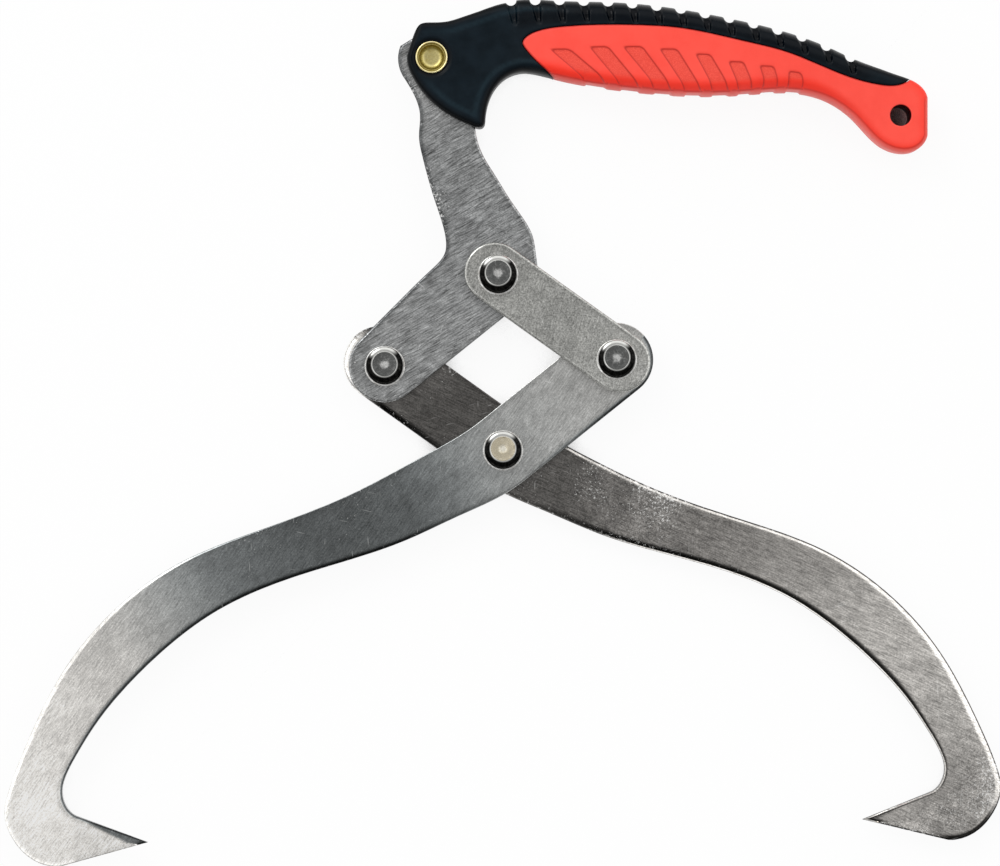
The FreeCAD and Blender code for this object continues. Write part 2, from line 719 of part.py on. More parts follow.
def red_outline(growth):
    """Outline of the red grip from the side, grown past its front and upper edge."""
    shares = [GRIP_EDGE_START_SHARE] + GRIP_EDGE_SHARES + [GRIP_EDGE_END_SHARE]
    edge = [handle_point(share) for share in shares]
    grown = []
    for before, point, after in zip(edge[:1] + edge, edge, edge[1:] + edge[-1:]):
        along = (after - before).normalize()
        grown.append(point + vector(-along.y, along.x) * growth)
    first = grown[0]
    last = grown[-1]
    corners = [last, vector(region_end, last.y), vector(region_end, region_bottom),
               vector(first.x, region_bottom), first]
    return [spline(grown)] + [line(a, b) for a, b in zip(corners, corners[1:])]


red_prism = slab("red_prism", flat_face("red_region", red_outline(0)), WIDE)
red_room = slab("red_room", flat_face("red_region_grown", red_outline(size("seam_gap"))), WIDE)
lever_face = flat_face("lever_face", lever_curves())
lever_slot = slab("lever_slot", lever_face, "Sizes.plate_thickness + Sizes.slot_clearance * 2")

nose = document.addObject("PartDesign::Body", "nose_blank")
nose_outline = add_sketch(nose, "nose_outline")
nose_runs = [NOSE_TOP_SHARES, NOSE_FRONT_SHARES, NOSE_LOWER_SHARES, NOSE_TIP_SHARES, NOSE_REAR_SHARES]
nose_points = [[handle_point(share) for share in run] for run in nose_runs]
close_outline(nose_outline, [spline(points) for points in nose_points]
              + [line(nose_points[-1][-1], nose_points[0][0])])
nose_pad = nose.newObject("PartDesign::Pad", "nose_pad")
nose_pad.Profile = nose_outline
nose_pad.SideType = "Symmetric"
nose_pad.setExpression("Length", "Sizes.cheek_width")
nose.Tip = nose_pad
document.recompute()

frame_blank = document.addObject("Part::MultiFuse", "frame_blank")
frame_blank.Shapes = [nose, blank]
notched_length = SPINE_END_SHARE * size("handle_length") - size("first_notch")
notches = []
for number in range(1 + int(notched_length / size("notch_pitch"))):
    distance = size("first_notch") + number * size("notch_pitch")
    top = handle_point((0, grip_section_at(distance)[0])).y
    middle = vector(hub.x + distance, top + size("notch_radius") - size("notch_depth"))
    notches.append(upright_cylinder("notch_%d" % number, middle, "Sizes.notch_radius", WIDE))
barrel_bore = upright_cylinder("barrel_bore", hub, "Sizes.brass_barrel_radius + Sizes.brass_clearance", WIDE)
recesses = []
for number, side in enumerate((1, -1)):
    recess_depth = "Sizes.brass_recess_depth * 2"
    seat = hub + FRONT * (side * size("cheek_width") / 2)
    recesses.append(upright_cylinder("recess_%d" % number, seat, "Sizes.brass_recess_radius", recess_depth))
frame_cuts = gather("frame_cuts", notches + [barrel_bore] + recesses)
frame_above = cut("frame_above", frame_blank, red_room)
frame_slotted = cut("frame_slotted", frame_above, lever_slot)
handle_frame = cut("handle_frame", frame_slotted, frame_cuts)

grip_red = document.addObject("Part::Common", "grip_red")
grip_red.Base = blank
grip_red.Tool = red_prism
hang_centre = handle_point((1, 0)) - vector(size("hang_hole_forward"), size("hang_hole_below"))
hang_hole = upright_cylinder("hang_hole", hang_centre, "Sizes.hang_hole_radius", WIDE)


def window_cutters(number):
    """One slanting flat-floored window on each side, from its round top down to the belly."""
    step = (LAST_WINDOW_ANGLE - FIRST_WINDOW_ANGLE) / (WINDOW_COUNT - 1)
    down = polar(1, -FIRST_WINDOW_ANGLE - step * number)
    half = size("window_width") / 2
    across = vector(-down.y, down.x) * half
    crown = handle_point(WINDOW_TOP_SHARES[number])
    top = crown + down * half
    foot = top + down * size("handle_depth")
    floor = grip_section_at(top.x - hub.x)[-1] * size("handle_width") - size("window_depth")
    outline = [arc(top - across, crown, top + across), line(top + across, foot + across),
               line(foot + across, foot - across), line(foot - across, top - across)]
    cutters = []
    for side_name, side in (("front", 1), ("rear", -1)):
        face = flat_face("window_%d_%s_face" % (number, side_name), outline)
        face.Placement = FreeCAD.Placement(FRONT * (side * floor), FreeCAD.Rotation())
        cutters.append(one_sided_slab("window_%d_%s" % (number, side_name), face, FRONT * side))
    return cutters


windows = []
for number in range(WINDOW_COUNT):
    windows += window_cutters(number)
grip_slotted = cut("grip_slotted", grip_red, lever_slot)
handle_grip = cut("handle_grip", grip_slotted, gather("grip_cuts", windows + [hang_hole]))
for piece in (handle_frame, handle_grip):
    piece.Label = piece.Name
document.recompute()

nodes = [handle_lever, connecting_link, front_jaw, rear_jaw] + fasteners
nodes += [brass_barrel, brass_cap, handle_frame, handle_grip]

# Stand the tongs on their base: the origin is under the middle of the whole outline

whole = FreeCAD.BoundBox()
for node in nodes:
    whole.add(node.Shape.optimalBoundingBox(False))
shift = vector(-whole.Center.x, -whole.Center.y, -whole.ZMin)
for node in nodes:
    node.Placement = FreeCAD.Placement(shift, FreeCAD.Rotation()).multiply(node.Placement)
document.recompute()

for thing in document.Objects:
    assert "Invalid" not in thing.State and "Error" not in thing.State, thing.Name + " failed"
os.makedirs("parts", exist_ok=True)
for node in nodes:
    assert not node.Shape.isNull() and node.Shape.isValid(), node.Label + " is not sound"
    node.Shape.exportStep("parts/%s.step" % node.Label)
    print("%-22s solids %d  volume %.0f" % (node.Label, len(node.Shape.Solids), node.Shape.Volume))
print("overall", whole.XLength, whole.YLength, whole.ZLength)
for label, place in (("top", top_pivot), ("left", left_pivot), ("centre", centre_pivot),
                     ("right", right_pivot), ("hub", hub), ("hang hole", hang_centre)):
    print(label, place + shift)
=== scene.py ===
"""Log lifting tongs, dressed: sanded steel plates, polished rivets and a moulded two-colour handle.

Lengths are millimetres, and each mesh is scaled to metres when it is made. The floor, the lamp and the
camera are placed in metres.
"""
import bmesh
import bpy
import json
import math
import numpy as np
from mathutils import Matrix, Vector, geometry
from typing import NamedTuple


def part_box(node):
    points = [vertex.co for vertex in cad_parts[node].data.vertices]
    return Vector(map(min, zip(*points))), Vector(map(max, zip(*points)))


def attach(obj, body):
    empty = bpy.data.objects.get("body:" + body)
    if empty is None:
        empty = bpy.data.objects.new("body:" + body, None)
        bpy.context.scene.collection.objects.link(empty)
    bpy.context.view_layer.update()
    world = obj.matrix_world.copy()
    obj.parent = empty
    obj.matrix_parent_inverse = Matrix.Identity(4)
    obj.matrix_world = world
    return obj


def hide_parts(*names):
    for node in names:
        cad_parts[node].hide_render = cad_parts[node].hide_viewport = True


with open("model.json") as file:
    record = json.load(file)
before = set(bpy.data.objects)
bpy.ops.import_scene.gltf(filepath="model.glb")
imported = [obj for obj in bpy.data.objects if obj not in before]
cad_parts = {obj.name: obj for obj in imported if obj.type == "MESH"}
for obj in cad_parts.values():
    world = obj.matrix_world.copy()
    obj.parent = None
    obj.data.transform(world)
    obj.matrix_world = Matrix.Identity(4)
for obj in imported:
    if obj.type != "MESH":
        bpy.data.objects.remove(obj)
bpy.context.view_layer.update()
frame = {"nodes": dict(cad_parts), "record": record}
nodes = frame["nodes"]
body_of = {node: body for body, members in frame["record"]["behaviour"]["bodies"].items() for node in members}

MM_PER_M = 1000
FAR = 1e9
BLOCK = 4000  # points that are measured at a time, which bounds the memory


# Places from the frame

def span(node):
    """Lowest and highest corner of a node."""
    low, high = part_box(node)
    return np.array(low) * MM_PER_M, np.array(high) * MM_PER_M


def middle(node):
    low, high = span(node)
    return (low + high) / 2


PIVOT = {name: middle(name + "_rivet")[:2] for name in ("top", "left", "centre", "right")}
HUB = middle("brass_barrel")[:2]
HANDLE_Z = middle("handle_grip")[2]


# Outlines

WELD = 1e-6       # metres
ON_PLANE = 1e-8   # metres


def cut_loops(node, height):
    """Closed outlines of a node at one height: the outer one anticlockwise, then the holes clockwise."""
    mesh = bmesh.new()
    mesh.from_mesh(nodes[node].data)
    bmesh.ops.remove_doubles(mesh, verts=mesh.verts, dist=WELD)
    everything = mesh.verts[:] + mesh.edges[:] + mesh.faces[:]
    cut = bmesh.ops.bisect_plane(mesh, geom=everything, dist=ON_PLANE, plane_co=(0, 0, height / MM_PER_M),
                                 plane_no=(0, 0, 1))
    links = {}
    for edge in cut["geom_cut"]:
        if isinstance(edge, bmesh.types.BMEdge):
            a, b = edge.verts
            links.setdefault(a, []).append(b)
            links.setdefault(b, []).append(a)
    loops = []
    left = set(links)
    while left:
        here = min(left, key=lambda vert: tuple(vert.co))
        ring = [here]
        left.discard(here)
        while True:
            ways = [vert for vert in links[here] if vert in left]
            if not ways:
                break
            here = ways[0]
            ring.append(here)
            left.discard(here)
        loops.append(np.array([tuple(vert.co) for vert in ring])[:, :2] * MM_PER_M)
    mesh.free()
    loops.sort(key=lambda loop: -abs(area(loop)))
    return [loop if (area(loop) > 0) == (number == 0) else loop[::-1] for number, loop in enumerate(loops)]


def area(loop):
    x, y = loop[:, 0], loop[:, 1]
    return 0.5 * float(np.sum(x * np.roll(y, -1) - np.roll(x, -1) * y))


def resample(loop, step, corner=24.0):
    """Even points along a closed outline that keeps its corners, which turn by more than an angle."""
    ahead = np.roll(loop, -1, 0) - loop
    behind = loop - np.roll(loop, 1, 0)
    turn = np.arctan2(ahead[:, 1], ahead[:, 0]) - np.arctan2(behind[:, 1], behind[:, 0])
    turn = np.degrees(np.abs((turn + np.pi) % (2 * np.pi) - np.pi))
    corners = [number for number in range(len(loop)) if turn[number] > corner] or [0]
    points = []
    for start, end in zip(corners, corners[1:] + [corners[0] + len(loop)]):
        run = loop[np.arange(start, end + 1) % len(loop)]
        length = np.concatenate([[0], np.cumsum(np.linalg.norm(np.diff(run, axis=0), axis=1))])
        count = max(1, int(round(length[-1] / step)))
        places = np.linspace(0, length[-1], count + 1)[:-1]
        points.append(np.stack([np.interp(places, length, run[:, axis]) for axis in (0, 1)], 1))
    return np.concatenate(points)


def inward(loop):
    """Unit vectors to the left of a closed outline."""
    along = np.roll(loop, -1, 0) - np.roll(loop, 1, 0)
    along /= np.maximum(np.linalg.norm(along, axis=1, keepdims=True), 1e-9)
    return np.stack([-along[:, 1], along[:, 0]], 1)


def distance(points, starts, ends):
    """Distance from each point to the nearest of many segments."""
    out = np.empty(len(points))
    along = ends - starts
    square = np.maximum((along ** 2).sum(1), 1e-12)
    for first in range(0, len(points), BLOCK):
        block = points[first:first + BLOCK, None]
        share = np.clip(((block - starts) * along).sum(2) / square, 0, 1)[..., None]
        out[first:first + BLOCK] = np.sqrt((((starts + along * share) - block) ** 2).sum(2).min(1))
    return out


def loop_distance(points, loops):
    return distance(points, np.concatenate(loops), np.concatenate([np.roll(loop, -1, 0) for loop in loops]))


def inside(points, loops):
    """True for each point that lies between the outer outline and the holes."""
    crossings = np.zeros(len(points), int)
    for loop in loops:
        ax, ay = loop[:, 0], loop[:, 1]
        bx, by = np.roll(ax, -1), np.roll(ay, -1)
        rise = np.where(by == ay, 1e-12, by - ay)
        for first in range(0, len(points), BLOCK):
            px = points[first:first + BLOCK, 0, None]
            py = points[first:first + BLOCK, 1, None]
            spans = (ay > py) != (by > py)
            crossings[first:first + BLOCK] += (spans & (px < ax + (py - ay) * (bx - ax) / rise)).sum(1)
    return crossings % 2 == 1


def nearest_segments(points, path):
    """The segment of a path that is nearest to each point, and the share of its length reached there."""
    best = np.full(len(points), FAR)
    segment = np.zeros(len(points), int)
    reached = np.zeros(len(points))
    for number, (a, b) in enumerate(zip(path, path[1:])):
        share = np.clip(((points - a) @ (b - a)) / ((b - a) @ (b - a)), 0, 1)
        gap = np.linalg.norm(points - (a + share[:, None] * (b - a)), axis=1)
        nearer = gap < best
        segment[nearer] = number
        reached[nearer] = share[nearer]
        best = np.minimum(best, gap)
    return segment, reached


def along_path(points, path, values):
    """Value at each point, from the nearest place on a path that carries values."""
    segment, reached = nearest_segments(points, path)
    values = np.array(values, float)
    return values[segment] + (values[segment + 1] - values[segment]) * reached


def path_side(points, path):
    """1 to the left of a path and -1 to its right, by the nearest segment."""
    segment, _ = nearest_segments(points, path)
    along = path[segment + 1] - path[segment]
    away = points - path[segment]
    return np.sign(along[:, 0] * away[:, 1] - along[:, 1] * away[:, 0])


def smooth(low, high, values):
    """0 at low and 1 at high, eased at both ends. It falls where low is the larger one."""
    share = np.clip((values - low) / (high - low), 0, 1)
    return share * share * (3 - 2 * share)


def bell(values, centre, width):
    return np.exp(-((values - centre) / width) ** 2)


def rolled(gap, width, depth):
    """Drop of a rolled edge at a distance from the outline."""
    share = np.clip(1 - gap / width, 0, 1)
    return depth * (1 - np.sqrt(1 - share * share))


# Meshes

def add_object(name, data):
    thing = bpy.data.objects.new(name, data)
    bpy.context.scene.collection.objects.link(thing)
    return thing


def mesh_piece(name, points, faces, attributes, material, sharp_angle):
    mesh = bpy.data.meshes.new(name)
    mesh.from_pydata((np.asarray(points) / MM_PER_M).tolist(), [], faces)
    for key, values in attributes.items():
        layer = mesh.attributes.new(key, "FLOAT", "POINT")
        layer.data.foreach_set("value", np.asarray(values, np.float32))
    mesh.polygons.foreach_set("use_smooth", [True] * len(mesh.polygons))
    mesh.set_sharp_from_angle(angle=math.radians(sharp_angle))
    mesh.update()
    mesh.materials.append(material)
    return add_object(name, mesh)


def stand_for(piece, node):
    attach(piece, body_of[node])
    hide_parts(node)


def relief(name, loops, rings, grid, heights, material, extra=None, sharp_angle=42.0):
    """A closed solid over outlines. heights gives its front, back and surface attributes at many points."""
    cloud = [np.concatenate(loops)]
    for depth in rings:
        for loop in loops:
            ring = loop + inward(loop) * depth
            ring = ring[inside(ring, loops)]
            cloud.append(ring[loop_distance(ring, loops) > depth * 0.96])
    low, high = loops[0].min(0), loops[0].max(0)
    rows = np.arange(low[1], high[1], grid * math.sqrt(3) / 2)
    columns = np.arange(low[0], high[0], grid)
    field = np.concatenate([np.stack([columns + grid / 2 * (number % 2), np.full(len(columns), y)], 1)
                            for number, y in enumerate(rows)])
    field = field[inside(field, loops)]
    field = field[loop_distance(field, loops) > max(rings) + grid * 0.5]
    if extra is not None:
        extra = extra[inside(extra, loops)]
        cloud.append(extra[loop_distance(extra, loops) > 0.3])
    cloud.append(field)
    edges = []
    first = 0
    for loop in loops:
        numbers = np.arange(first, first + len(loop))
        edges += list(zip(numbers.tolist(), np.roll(numbers, -1).tolist()))
        first += len(loop)
    cloud = [(float(x), float(y)) for x, y in np.concatenate(cloud)]
    result = geometry.delaunay_2d_cdt(cloud, edges, [], 0, 1e-5)
    flat = np.array([tuple(place) for place in result[0]])
    triangles = np.array(result[2])
    triangles = triangles[inside(flat[triangles].mean(1), loops)]
    a, b, c = (flat[triangles[:, corner]] for corner in range(3))
    turned = ((b - a)[:, 0] * (c - a)[:, 1] - (b - a)[:, 1] * (c - a)[:, 0]) < 0
    triangles[turned] = triangles[turned][:, ::-1]
    triangles = triangles.tolist()

    front, back, attributes = heights(flat)
    count = len(flat)
    solid = np.concatenate([np.column_stack([flat, front]), np.column_stack([flat, back])])
    directed = dict.fromkeys((start, end) for triangle in triangles
                             for start, end in zip(triangle, triangle[1:] + triangle[:1]))
    rim = [(start, end) for start, end in directed if (end, start) not in directed]
    faces = triangles + [[third + count, second + count, first + count] for first, second, third in triangles]
    faces += [[start, start + count, end + count, end] for start, end in rim]
    attributes = {key: np.concatenate([values, values]) for key, values in attributes.items()}
    return mesh_piece(name, solid, faces, attributes, material, sharp_angle)


LATHE_SEGMENTS = 96
LATHE_SHARP_ANGLE = 38.0


def lathe(name, place, profile, material, attributes=None):
    """A turned solid from pairs of radius and height, which end on the axis or form a closed ring."""
    attributes = attributes or {}
    angles = np.linspace(0, 2 * math.pi, LATHE_SEGMENTS, endpoint=False)
    points = []
    rings = []
    values = {key: [] for key in attributes}
    for number, (radius, height) in enumerate(profile):
        turns = [0.0] if radius < 1e-6 else angles
        rings.append(list(range(len(points), len(points) + len(turns))))
        for angle in turns:
            points.append((place[0] + radius * math.cos(angle), place[1] + radius * math.sin(angle), height))
        for key in values:
            values[key] += [attributes[key][number]] * len(turns)
    if len(rings[0]) > 1:
        rings.append(rings[0])
    faces = []
    for lower, upper in zip(rings, rings[1:]):
        for step in range(LATHE_SEGMENTS):
            following = (step + 1) % LATHE_SEGMENTS
            if len(lower) == 1:
                faces.append([upper[following], upper[step], lower[0]])
            elif len(upper) == 1:
                faces.append([lower[following], upper[0], lower[step]])
            else:
                faces.append([lower[following], upper[following], upper[step], lower[step]])
    return mesh_piece(name, points, faces, values, material, LATHE_SHARP_ANGLE)


# Materials

def srgb(red, green, blue):
    """A colour given in screen numbers, as the linear values that shaders take."""
    def linear(value):
        value /= 255
        return value / 12.92 if value <= 0.04045 else ((value + 0.055) / 1.055) ** 2.4
    return (linear(red), linear(green), linear(blue), 1.0)


WHITE = (1.0, 1.0, 1.0, 1.0)


class Nodes:
    """The node tree of a material or of the world, with short calls that add to it."""

    def __init__(self, owner):
        owner.use_nodes = True
        self.tree = owner.node_tree
        self.tree.nodes.clear()

    def put(self, socket, value):
        if isinstance(value, bpy.types.NodeSocket):
            self.tree.links.new(value, socket)
        else:
            socket.default_value = value

    def add(self, kind, *values, **settings):
        """A node with its settings, and a value or a socket for each of its first inputs."""
        node = self.tree.nodes.new("ShaderNode" + kind)
        for key, value in settings.items():
            setattr(node, key, value)
        for socket, value in zip(node.inputs, values):
            self.put(socket, value)
        return node

    def math(self, operation, *values):
        return self.add("Math", *values, operation=operation).outputs[0]

    def plus(self, first, *others):
        for other in others:
            first = self.math("ADD", first, other)
        return first

    def times(self, first, *others):
        for other in others:
            first = self.math("MULTIPLY", first, other)
        return first

    def remap(self, value, low, high, new_low=0.0, new_high=1.0):
        return self.add("MapRange", value, low, high, new_low, new_high,
                        interpolation_type="SMOOTHSTEP").outputs[0]


class Finish(Nodes):
    """A material round one principled shader."""

    def __init__(self, name):
        self.material = bpy.data.materials.new(name)
        super().__init__(self.material)
        self.output = self.add("OutputMaterial")
        self.shader = self.add("BsdfPrincipled")
        self.put(self.output.inputs[0], self.shader.outputs[0])
        self.place = self.add("TexCoord").outputs["Object"]

    def set(self, **values):
        for key, value in values.items():
            self.put(self.shader.inputs[key.replace("_", " ")], value)

    def mapped(self, scale, angle, shift):
        """Object coordinates in millimetres, turned about Z and scaled evenly or on each axis."""
        turned = self.add("Mapping", self.place)
        turned.inputs["Rotation"].default_value = (0, 0, math.radians(-angle))
        stretched = self.add("Mapping", turned.outputs[0])
        scales = scale if isinstance(scale, tuple) else (scale, scale, scale)
        stretched.inputs["Scale"].default_value = tuple(number * MM_PER_M for number in scales)
        stretched.inputs["Location"].default_value = shift
        return stretched.outputs[0]

    def noise(self, scale, detail, roughness, distortion=0.0, angle=0.0, shift=(0.0, 0.0, 0.0)):
        node = self.add("TexNoise", self.mapped(scale, angle, shift))
        for key, value in (("Scale", 1.0), ("Detail", detail), ("Roughness", roughness),
                           ("Distortion", distortion)):
            node.inputs[key].default_value = value
        return node.outputs[0]

    def sway(self, noise, amount):
        """How far a noise departs from its middle, times an amount."""
        return self.times(self.plus(noise, -0.5), amount)

    def cells(self, scale):
        node = self.add("TexVoronoi", self.mapped(scale, 0.0, (0.0, 0.0, 0.0)), feature="F1")
        for key in ("Scale", "Randomness"):
            node.inputs[key].default_value = 1.0
        return node.outputs[0]

    def attributes(self, *names):
        return [self.add("Attribute", attribute_name=name).outputs["Fac"] for name in names]

    def mix(self, share, first, second, blend="MIX"):
        node = self.add("Mix", data_type="RGBA", blend_type=blend, clamp_factor=True)
        for socket, value in (("Factor", share), (6, first), (7, second)):
            self.put(node.inputs[socket], value)
        return node.outputs[2]

    def grey(self, value):
        return self.add("CombineColor", value, value, value).outputs[0]

    def bump(self, height, strength, depth, below=None):
        """A bump of a given depth in millimetres."""
        node = self.add("Bump")
        node.inputs["Strength"].default_value = strength
        node.inputs["Distance"].default_value = depth / MM_PER_M
        self.put(node.inputs["Height"], height)
        if below is not None:
            self.put(node.inputs["Normal"], below)
        return node.outputs[0]


def plate_steel(name, grain_angle, shift, dark_tint, light_tint, grain, length, speckle):
    """Sanded mild steel: fine sanding lines, grainy speckle, short scratches and bright nicks at its rim."""
    finish = Finish(name)
    tone, rim, wear = finish.attributes("tone", "rim", "wear")
    cloud = finish.noise(0.035, 3.0, 0.55, 0.6, shift=shift)
    patch = finish.noise(0.20, 4.0, 0.6, 0.4, shift=shift)
    fine = finish.noise((1.0 / length, 2.2, 2.2), 2.0, 0.6, angle=grain_angle, shift=shift)
    coarse = finish.noise((0.6 / length, 1.5, 1.5), 2.0, 0.6, angle=grain_angle + 6, shift=shift)
    speck = finish.noise(1.5, 3.0, 0.75, shift=shift)
    grime = finish.noise(0.9, 5.0, 0.75, shift=shift)
    mottle = finish.sway(patch, finish.plus(0.3, finish.times(wear, 1.1)))
    lines = finish.plus(finish.sway(fine, 3.2 * grain), finish.sway(coarse, 2.1 * grain))
    spread = finish.sway(speck, finish.plus(1.6 * speckle, finish.times(wear, 1.6)))
    level = finish.times(tone, finish.remap(cloud, 0.3, 0.7, 0.88, 1.12), finish.plus(1.0, mottle),
                         finish.plus(1.0, lines), finish.plus(1.0, spread),
                         finish.remap(grime, 0.28, 0.5, 1 - 0.2 * speckle, 1.0))
    # Nicks are bright where metal is freshly marked, mostly near the rim
    nick_field = finish.noise(0.95, 6.0, 0.8, shift=(shift[0] + 7, shift[1], 3))
    zone = finish.noise(0.055, 2.0, 0.5, shift=(shift[0], shift[1] + 5, 9))
    near = finish.times(finish.remap(rim, 0.2, 4.0, 1.0, 0.0), finish.plus(0.03, finish.times(wear, 0.03)))
    crowd = finish.plus(finish.remap(zone, 0.46, 0.70, 0.0, 0.07), finish.times(wear, 0.15))
    nick_limit = finish.math("SUBTRACT", 0.73, finish.plus(near, crowd))
    nicks = finish.remap(finish.math("SUBTRACT", nick_field, nick_limit), 0.0, 0.03)
    # Scratches are the peaks of a noise that is stretched along each of two directions
    scratches = []
    for angle, seed, limit in ((grain_angle + 42, 2.0, 0.775), (grain_angle - 64, 11.0, 0.785)):
        dashes = finish.noise((0.12, 1.5, 1.5), 0.0, 0.5, 0.15, angle, (seed, shift[1], seed))
        gate = finish.noise(0.07, 2.0, 0.6, shift=(seed * 3, seed, shift[0]))
        gate = finish.remap(finish.plus(gate, finish.times(wear, 0.08)), 0.46, 0.62)
        scratches.append(finish.times(finish.remap(dashes, limit, limit + 0.04), gate))
    scratched = finish.math("MAXIMUM", *scratches)
    marks = finish.math("MAXIMUM", finish.times(nicks, 0.75), finish.times(scratched, 0.28))
    tint = finish.mix(finish.remap(tone, 0.15, 0.7), dark_tint, light_tint)
    colour = finish.mix(1.0, finish.grey(level), tint, "MULTIPLY")
    colour = finish.mix(marks, colour, srgb(246, 246, 244))
    height = finish.plus(finish.times(fine, 0.6), finish.times(coarse, 0.5))
    normal = finish.bump(height, 0.35, 0.018 * grain + 0.004)
    normal = finish.bump(finish.plus(grime, finish.times(marks, 1.2)), 0.30, 0.025, normal)
    rough = finish.plus(finish.remap(patch, 0.3, 0.7, 0.29, 0.38), finish.times(marks, 0.14))
    rough = finish.math("SUBTRACT", rough, finish.remap(rim, 0.3, 2.6, 0.18, 0.0))
    finish.set(Base_Color=colour, Metallic=1.0, Roughness=rough, Normal=normal)
    return finish.material


def turned_steel(name, polished, dull):
    """Polished rivet steel: painted shade on the flank, and dull spots where the tool formed the flat top."""
    finish = Finish(name)
    flat, flank_shade, core = finish.attributes("flat", "flank_shade", "core")
    patch = finish.noise(0.32, 4.0, 0.65, 0.5)
    spot = finish.noise(0.8, 5.0, 0.75, 0.6)
    worn = finish.plus(finish.times(spot, 0.9), finish.times(core, 0.55))
    top = finish.mix(finish.remap(worn, 0.42, 0.92), dull, polished)
    top = finish.mix(finish.remap(patch, 0.50, 0.72, 0.0, 0.45), top, srgb(80, 78, 76))
    # Painted shade on the head's flank
    black = finish.mix(finish.remap(spot, 0.42, 0.68), srgb(12, 12, 12), srgb(40, 39, 37))
    colour = finish.mix(flat, srgb(228, 228, 224), top)
    colour = finish.mix(flank_shade, colour, black)
    rough = finish.plus(0.11, finish.times(flat, finish.remap(patch, 0.3, 0.7, 0.10, 0.24)))
    normal = finish.bump(finish.times(spot, finish.plus(flat, 0.12)), 0.55, 0.09)
    finish.set(Base_Color=colour, Metallic=1.0, Roughness=rough, Normal=normal)
    return finish.material


def washer_steel(name):
    finish = Finish(name)
    patch = finish.noise(0.7, 4.0, 0.65)
    colour = finish.mix(finish.remap(patch, 0.35, 0.7), srgb(228, 228, 226), srgb(168, 165, 160))
    rough = finish.remap(patch, 0.3, 0.7, 0.16, 0.30)
    finish.set(Base_Color=colour, Metallic=1.0, Roughness=rough, Normal=finish.bump(patch, 0.3, 0.03))
    return finish.material


def brass(name):
    """Drawn brass: bright where it is rubbed, dull and brown in the cup."""
    finish = Finish(name)
    cup, = finish.attributes("cup")
    patch = finish.noise(0.5, 4.0, 0.65)
    spot = finish.noise(1.5, 4.0, 0.7)
    bright = finish.mix(finish.remap(patch, 0.35, 0.7), srgb(255, 244, 190), srgb(232, 212, 146))
    dull = finish.mix(finish.remap(spot, 0.35, 0.65), srgb(178, 164, 92), srgb(146, 130, 66))
    rough = finish.plus(0.17, finish.times(cup, 0.2))
    finish.set(Base_Color=finish.mix(cup, bright, dull), Metallic=1.0, Roughness=rough,
               Normal=finish.bump(spot, 0.4, 0.04))
    return finish.material


def black_plastic(name):
    """Moulded nylon with a fine erosion grain, rubbed smoother on the lugs, with painted shade on the lugs,
    in the grooves and round the brass rivet, painted shade along the outline and a painted highlight near the
    nose's rim.
    """
    finish = Finish(name)
    lug_and_recess_shade, rim, nose_rim_highlight = finish.attributes("lug_and_recess_shade", "rim", "nose_rim_highlight")
    grain = finish.noise(3.2, 3.0, 0.6)
    patch = finish.noise(0.12, 4.0, 0.6)
    flow = finish.noise((0.05, 0.5, 0.5), 3.0, 0.55, angle=12)
    colour = finish.mix(finish.remap(patch, 0.3, 0.7), srgb(4, 15, 22), srgb(10, 23, 31))
    # Painted shade on the lugs, deepest in the grooves and round the brass rivet
    colour = finish.mix(lug_and_recess_shade, colour, srgb(0, 2, 7))
    # Painted highlight along the nose's rim
    colour = finish.mix(finish.times(nose_rim_highlight, 0.7), colour, srgb(26, 42, 50))
    # Painted shade along the outline, where the moulding turns away
    colour = finish.mix(finish.remap(rim, 0.6, 3.2, 0.9, 0.0), colour, srgb(0, 1, 3))
    rough = finish.plus(finish.remap(patch, 0.3, 0.7, 0.33, 0.43), finish.remap(flow, 0.3, 0.7, -0.03, 0.04))
    rough = finish.math("SUBTRACT", rough, finish.times(lug_and_recess_shade, 0.16))
    finish.set(Base_Color=colour, Roughness=rough, Normal=finish.bump(grain, 0.3, 0.04),
               Specular_IOR_Level=0.11)
    return finish.material


def red_plastic(name):
    """Soft red grip: a satin skin with painted shade, deeper orange, where it turns under, stippled window
    floors, painted shadow lines, a painted floor reflection and painted shade in the bore.
    """
    finish = Finish(name)
    rim, window, edge_shadow, floor_reflection, bore_shade = finish.attributes("rim", "window", "edge_shadow", "floor_reflection", "bore_shade")
    grain = finish.noise(2.6, 3.0, 0.6)
    stipple = finish.cells(2.4)
    patch = finish.noise(0.07, 4.0, 0.6)
    skin = finish.mix(finish.remap(patch, 0.3, 0.7), srgb(250, 80, 66), srgb(245, 72, 58))
    # Painted shade: deeper orange where the grip turns under at its outline
    skin = finish.mix(finish.remap(rim, 1.6, 7.6, 1.0, 0.0), skin, srgb(255, 44, 20))
    sunk = finish.mix(finish.remap(stipple, 0.2, 0.6), srgb(238, 88, 72), srgb(224, 68, 52))
    colour = finish.mix(finish.times(window, 0.8), skin, sunk)
    # Painted shadow lines along the windows' edges, the seam and the belly
    colour = finish.mix(finish.times(edge_shadow, 0.8), colour, srgb(168, 26, 18))
    # Painted reflection of the floor along the belly
    colour = finish.mix(finish.times(floor_reflection, 0.42), colour, srgb(228, 128, 118))
    # Painted shade in the hang hole's bore
    colour = finish.mix(bore_shade, colour, srgb(60, 3, 6))
    rough = finish.plus(finish.remap(patch, 0.3, 0.7, 0.40, 0.50), finish.times(window, 0.14))
    normal = finish.bump(grain, 0.3, 0.04)
    normal = finish.bump(finish.times(stipple, window), 0.4, 0.10, normal)
    finish.set(Base_Color=colour, Roughness=rough, Normal=normal, Specular_IOR_Level=0.3,
               Subsurface_Weight=0.04, Subsurface_Scale=0.003)
    return finish.material


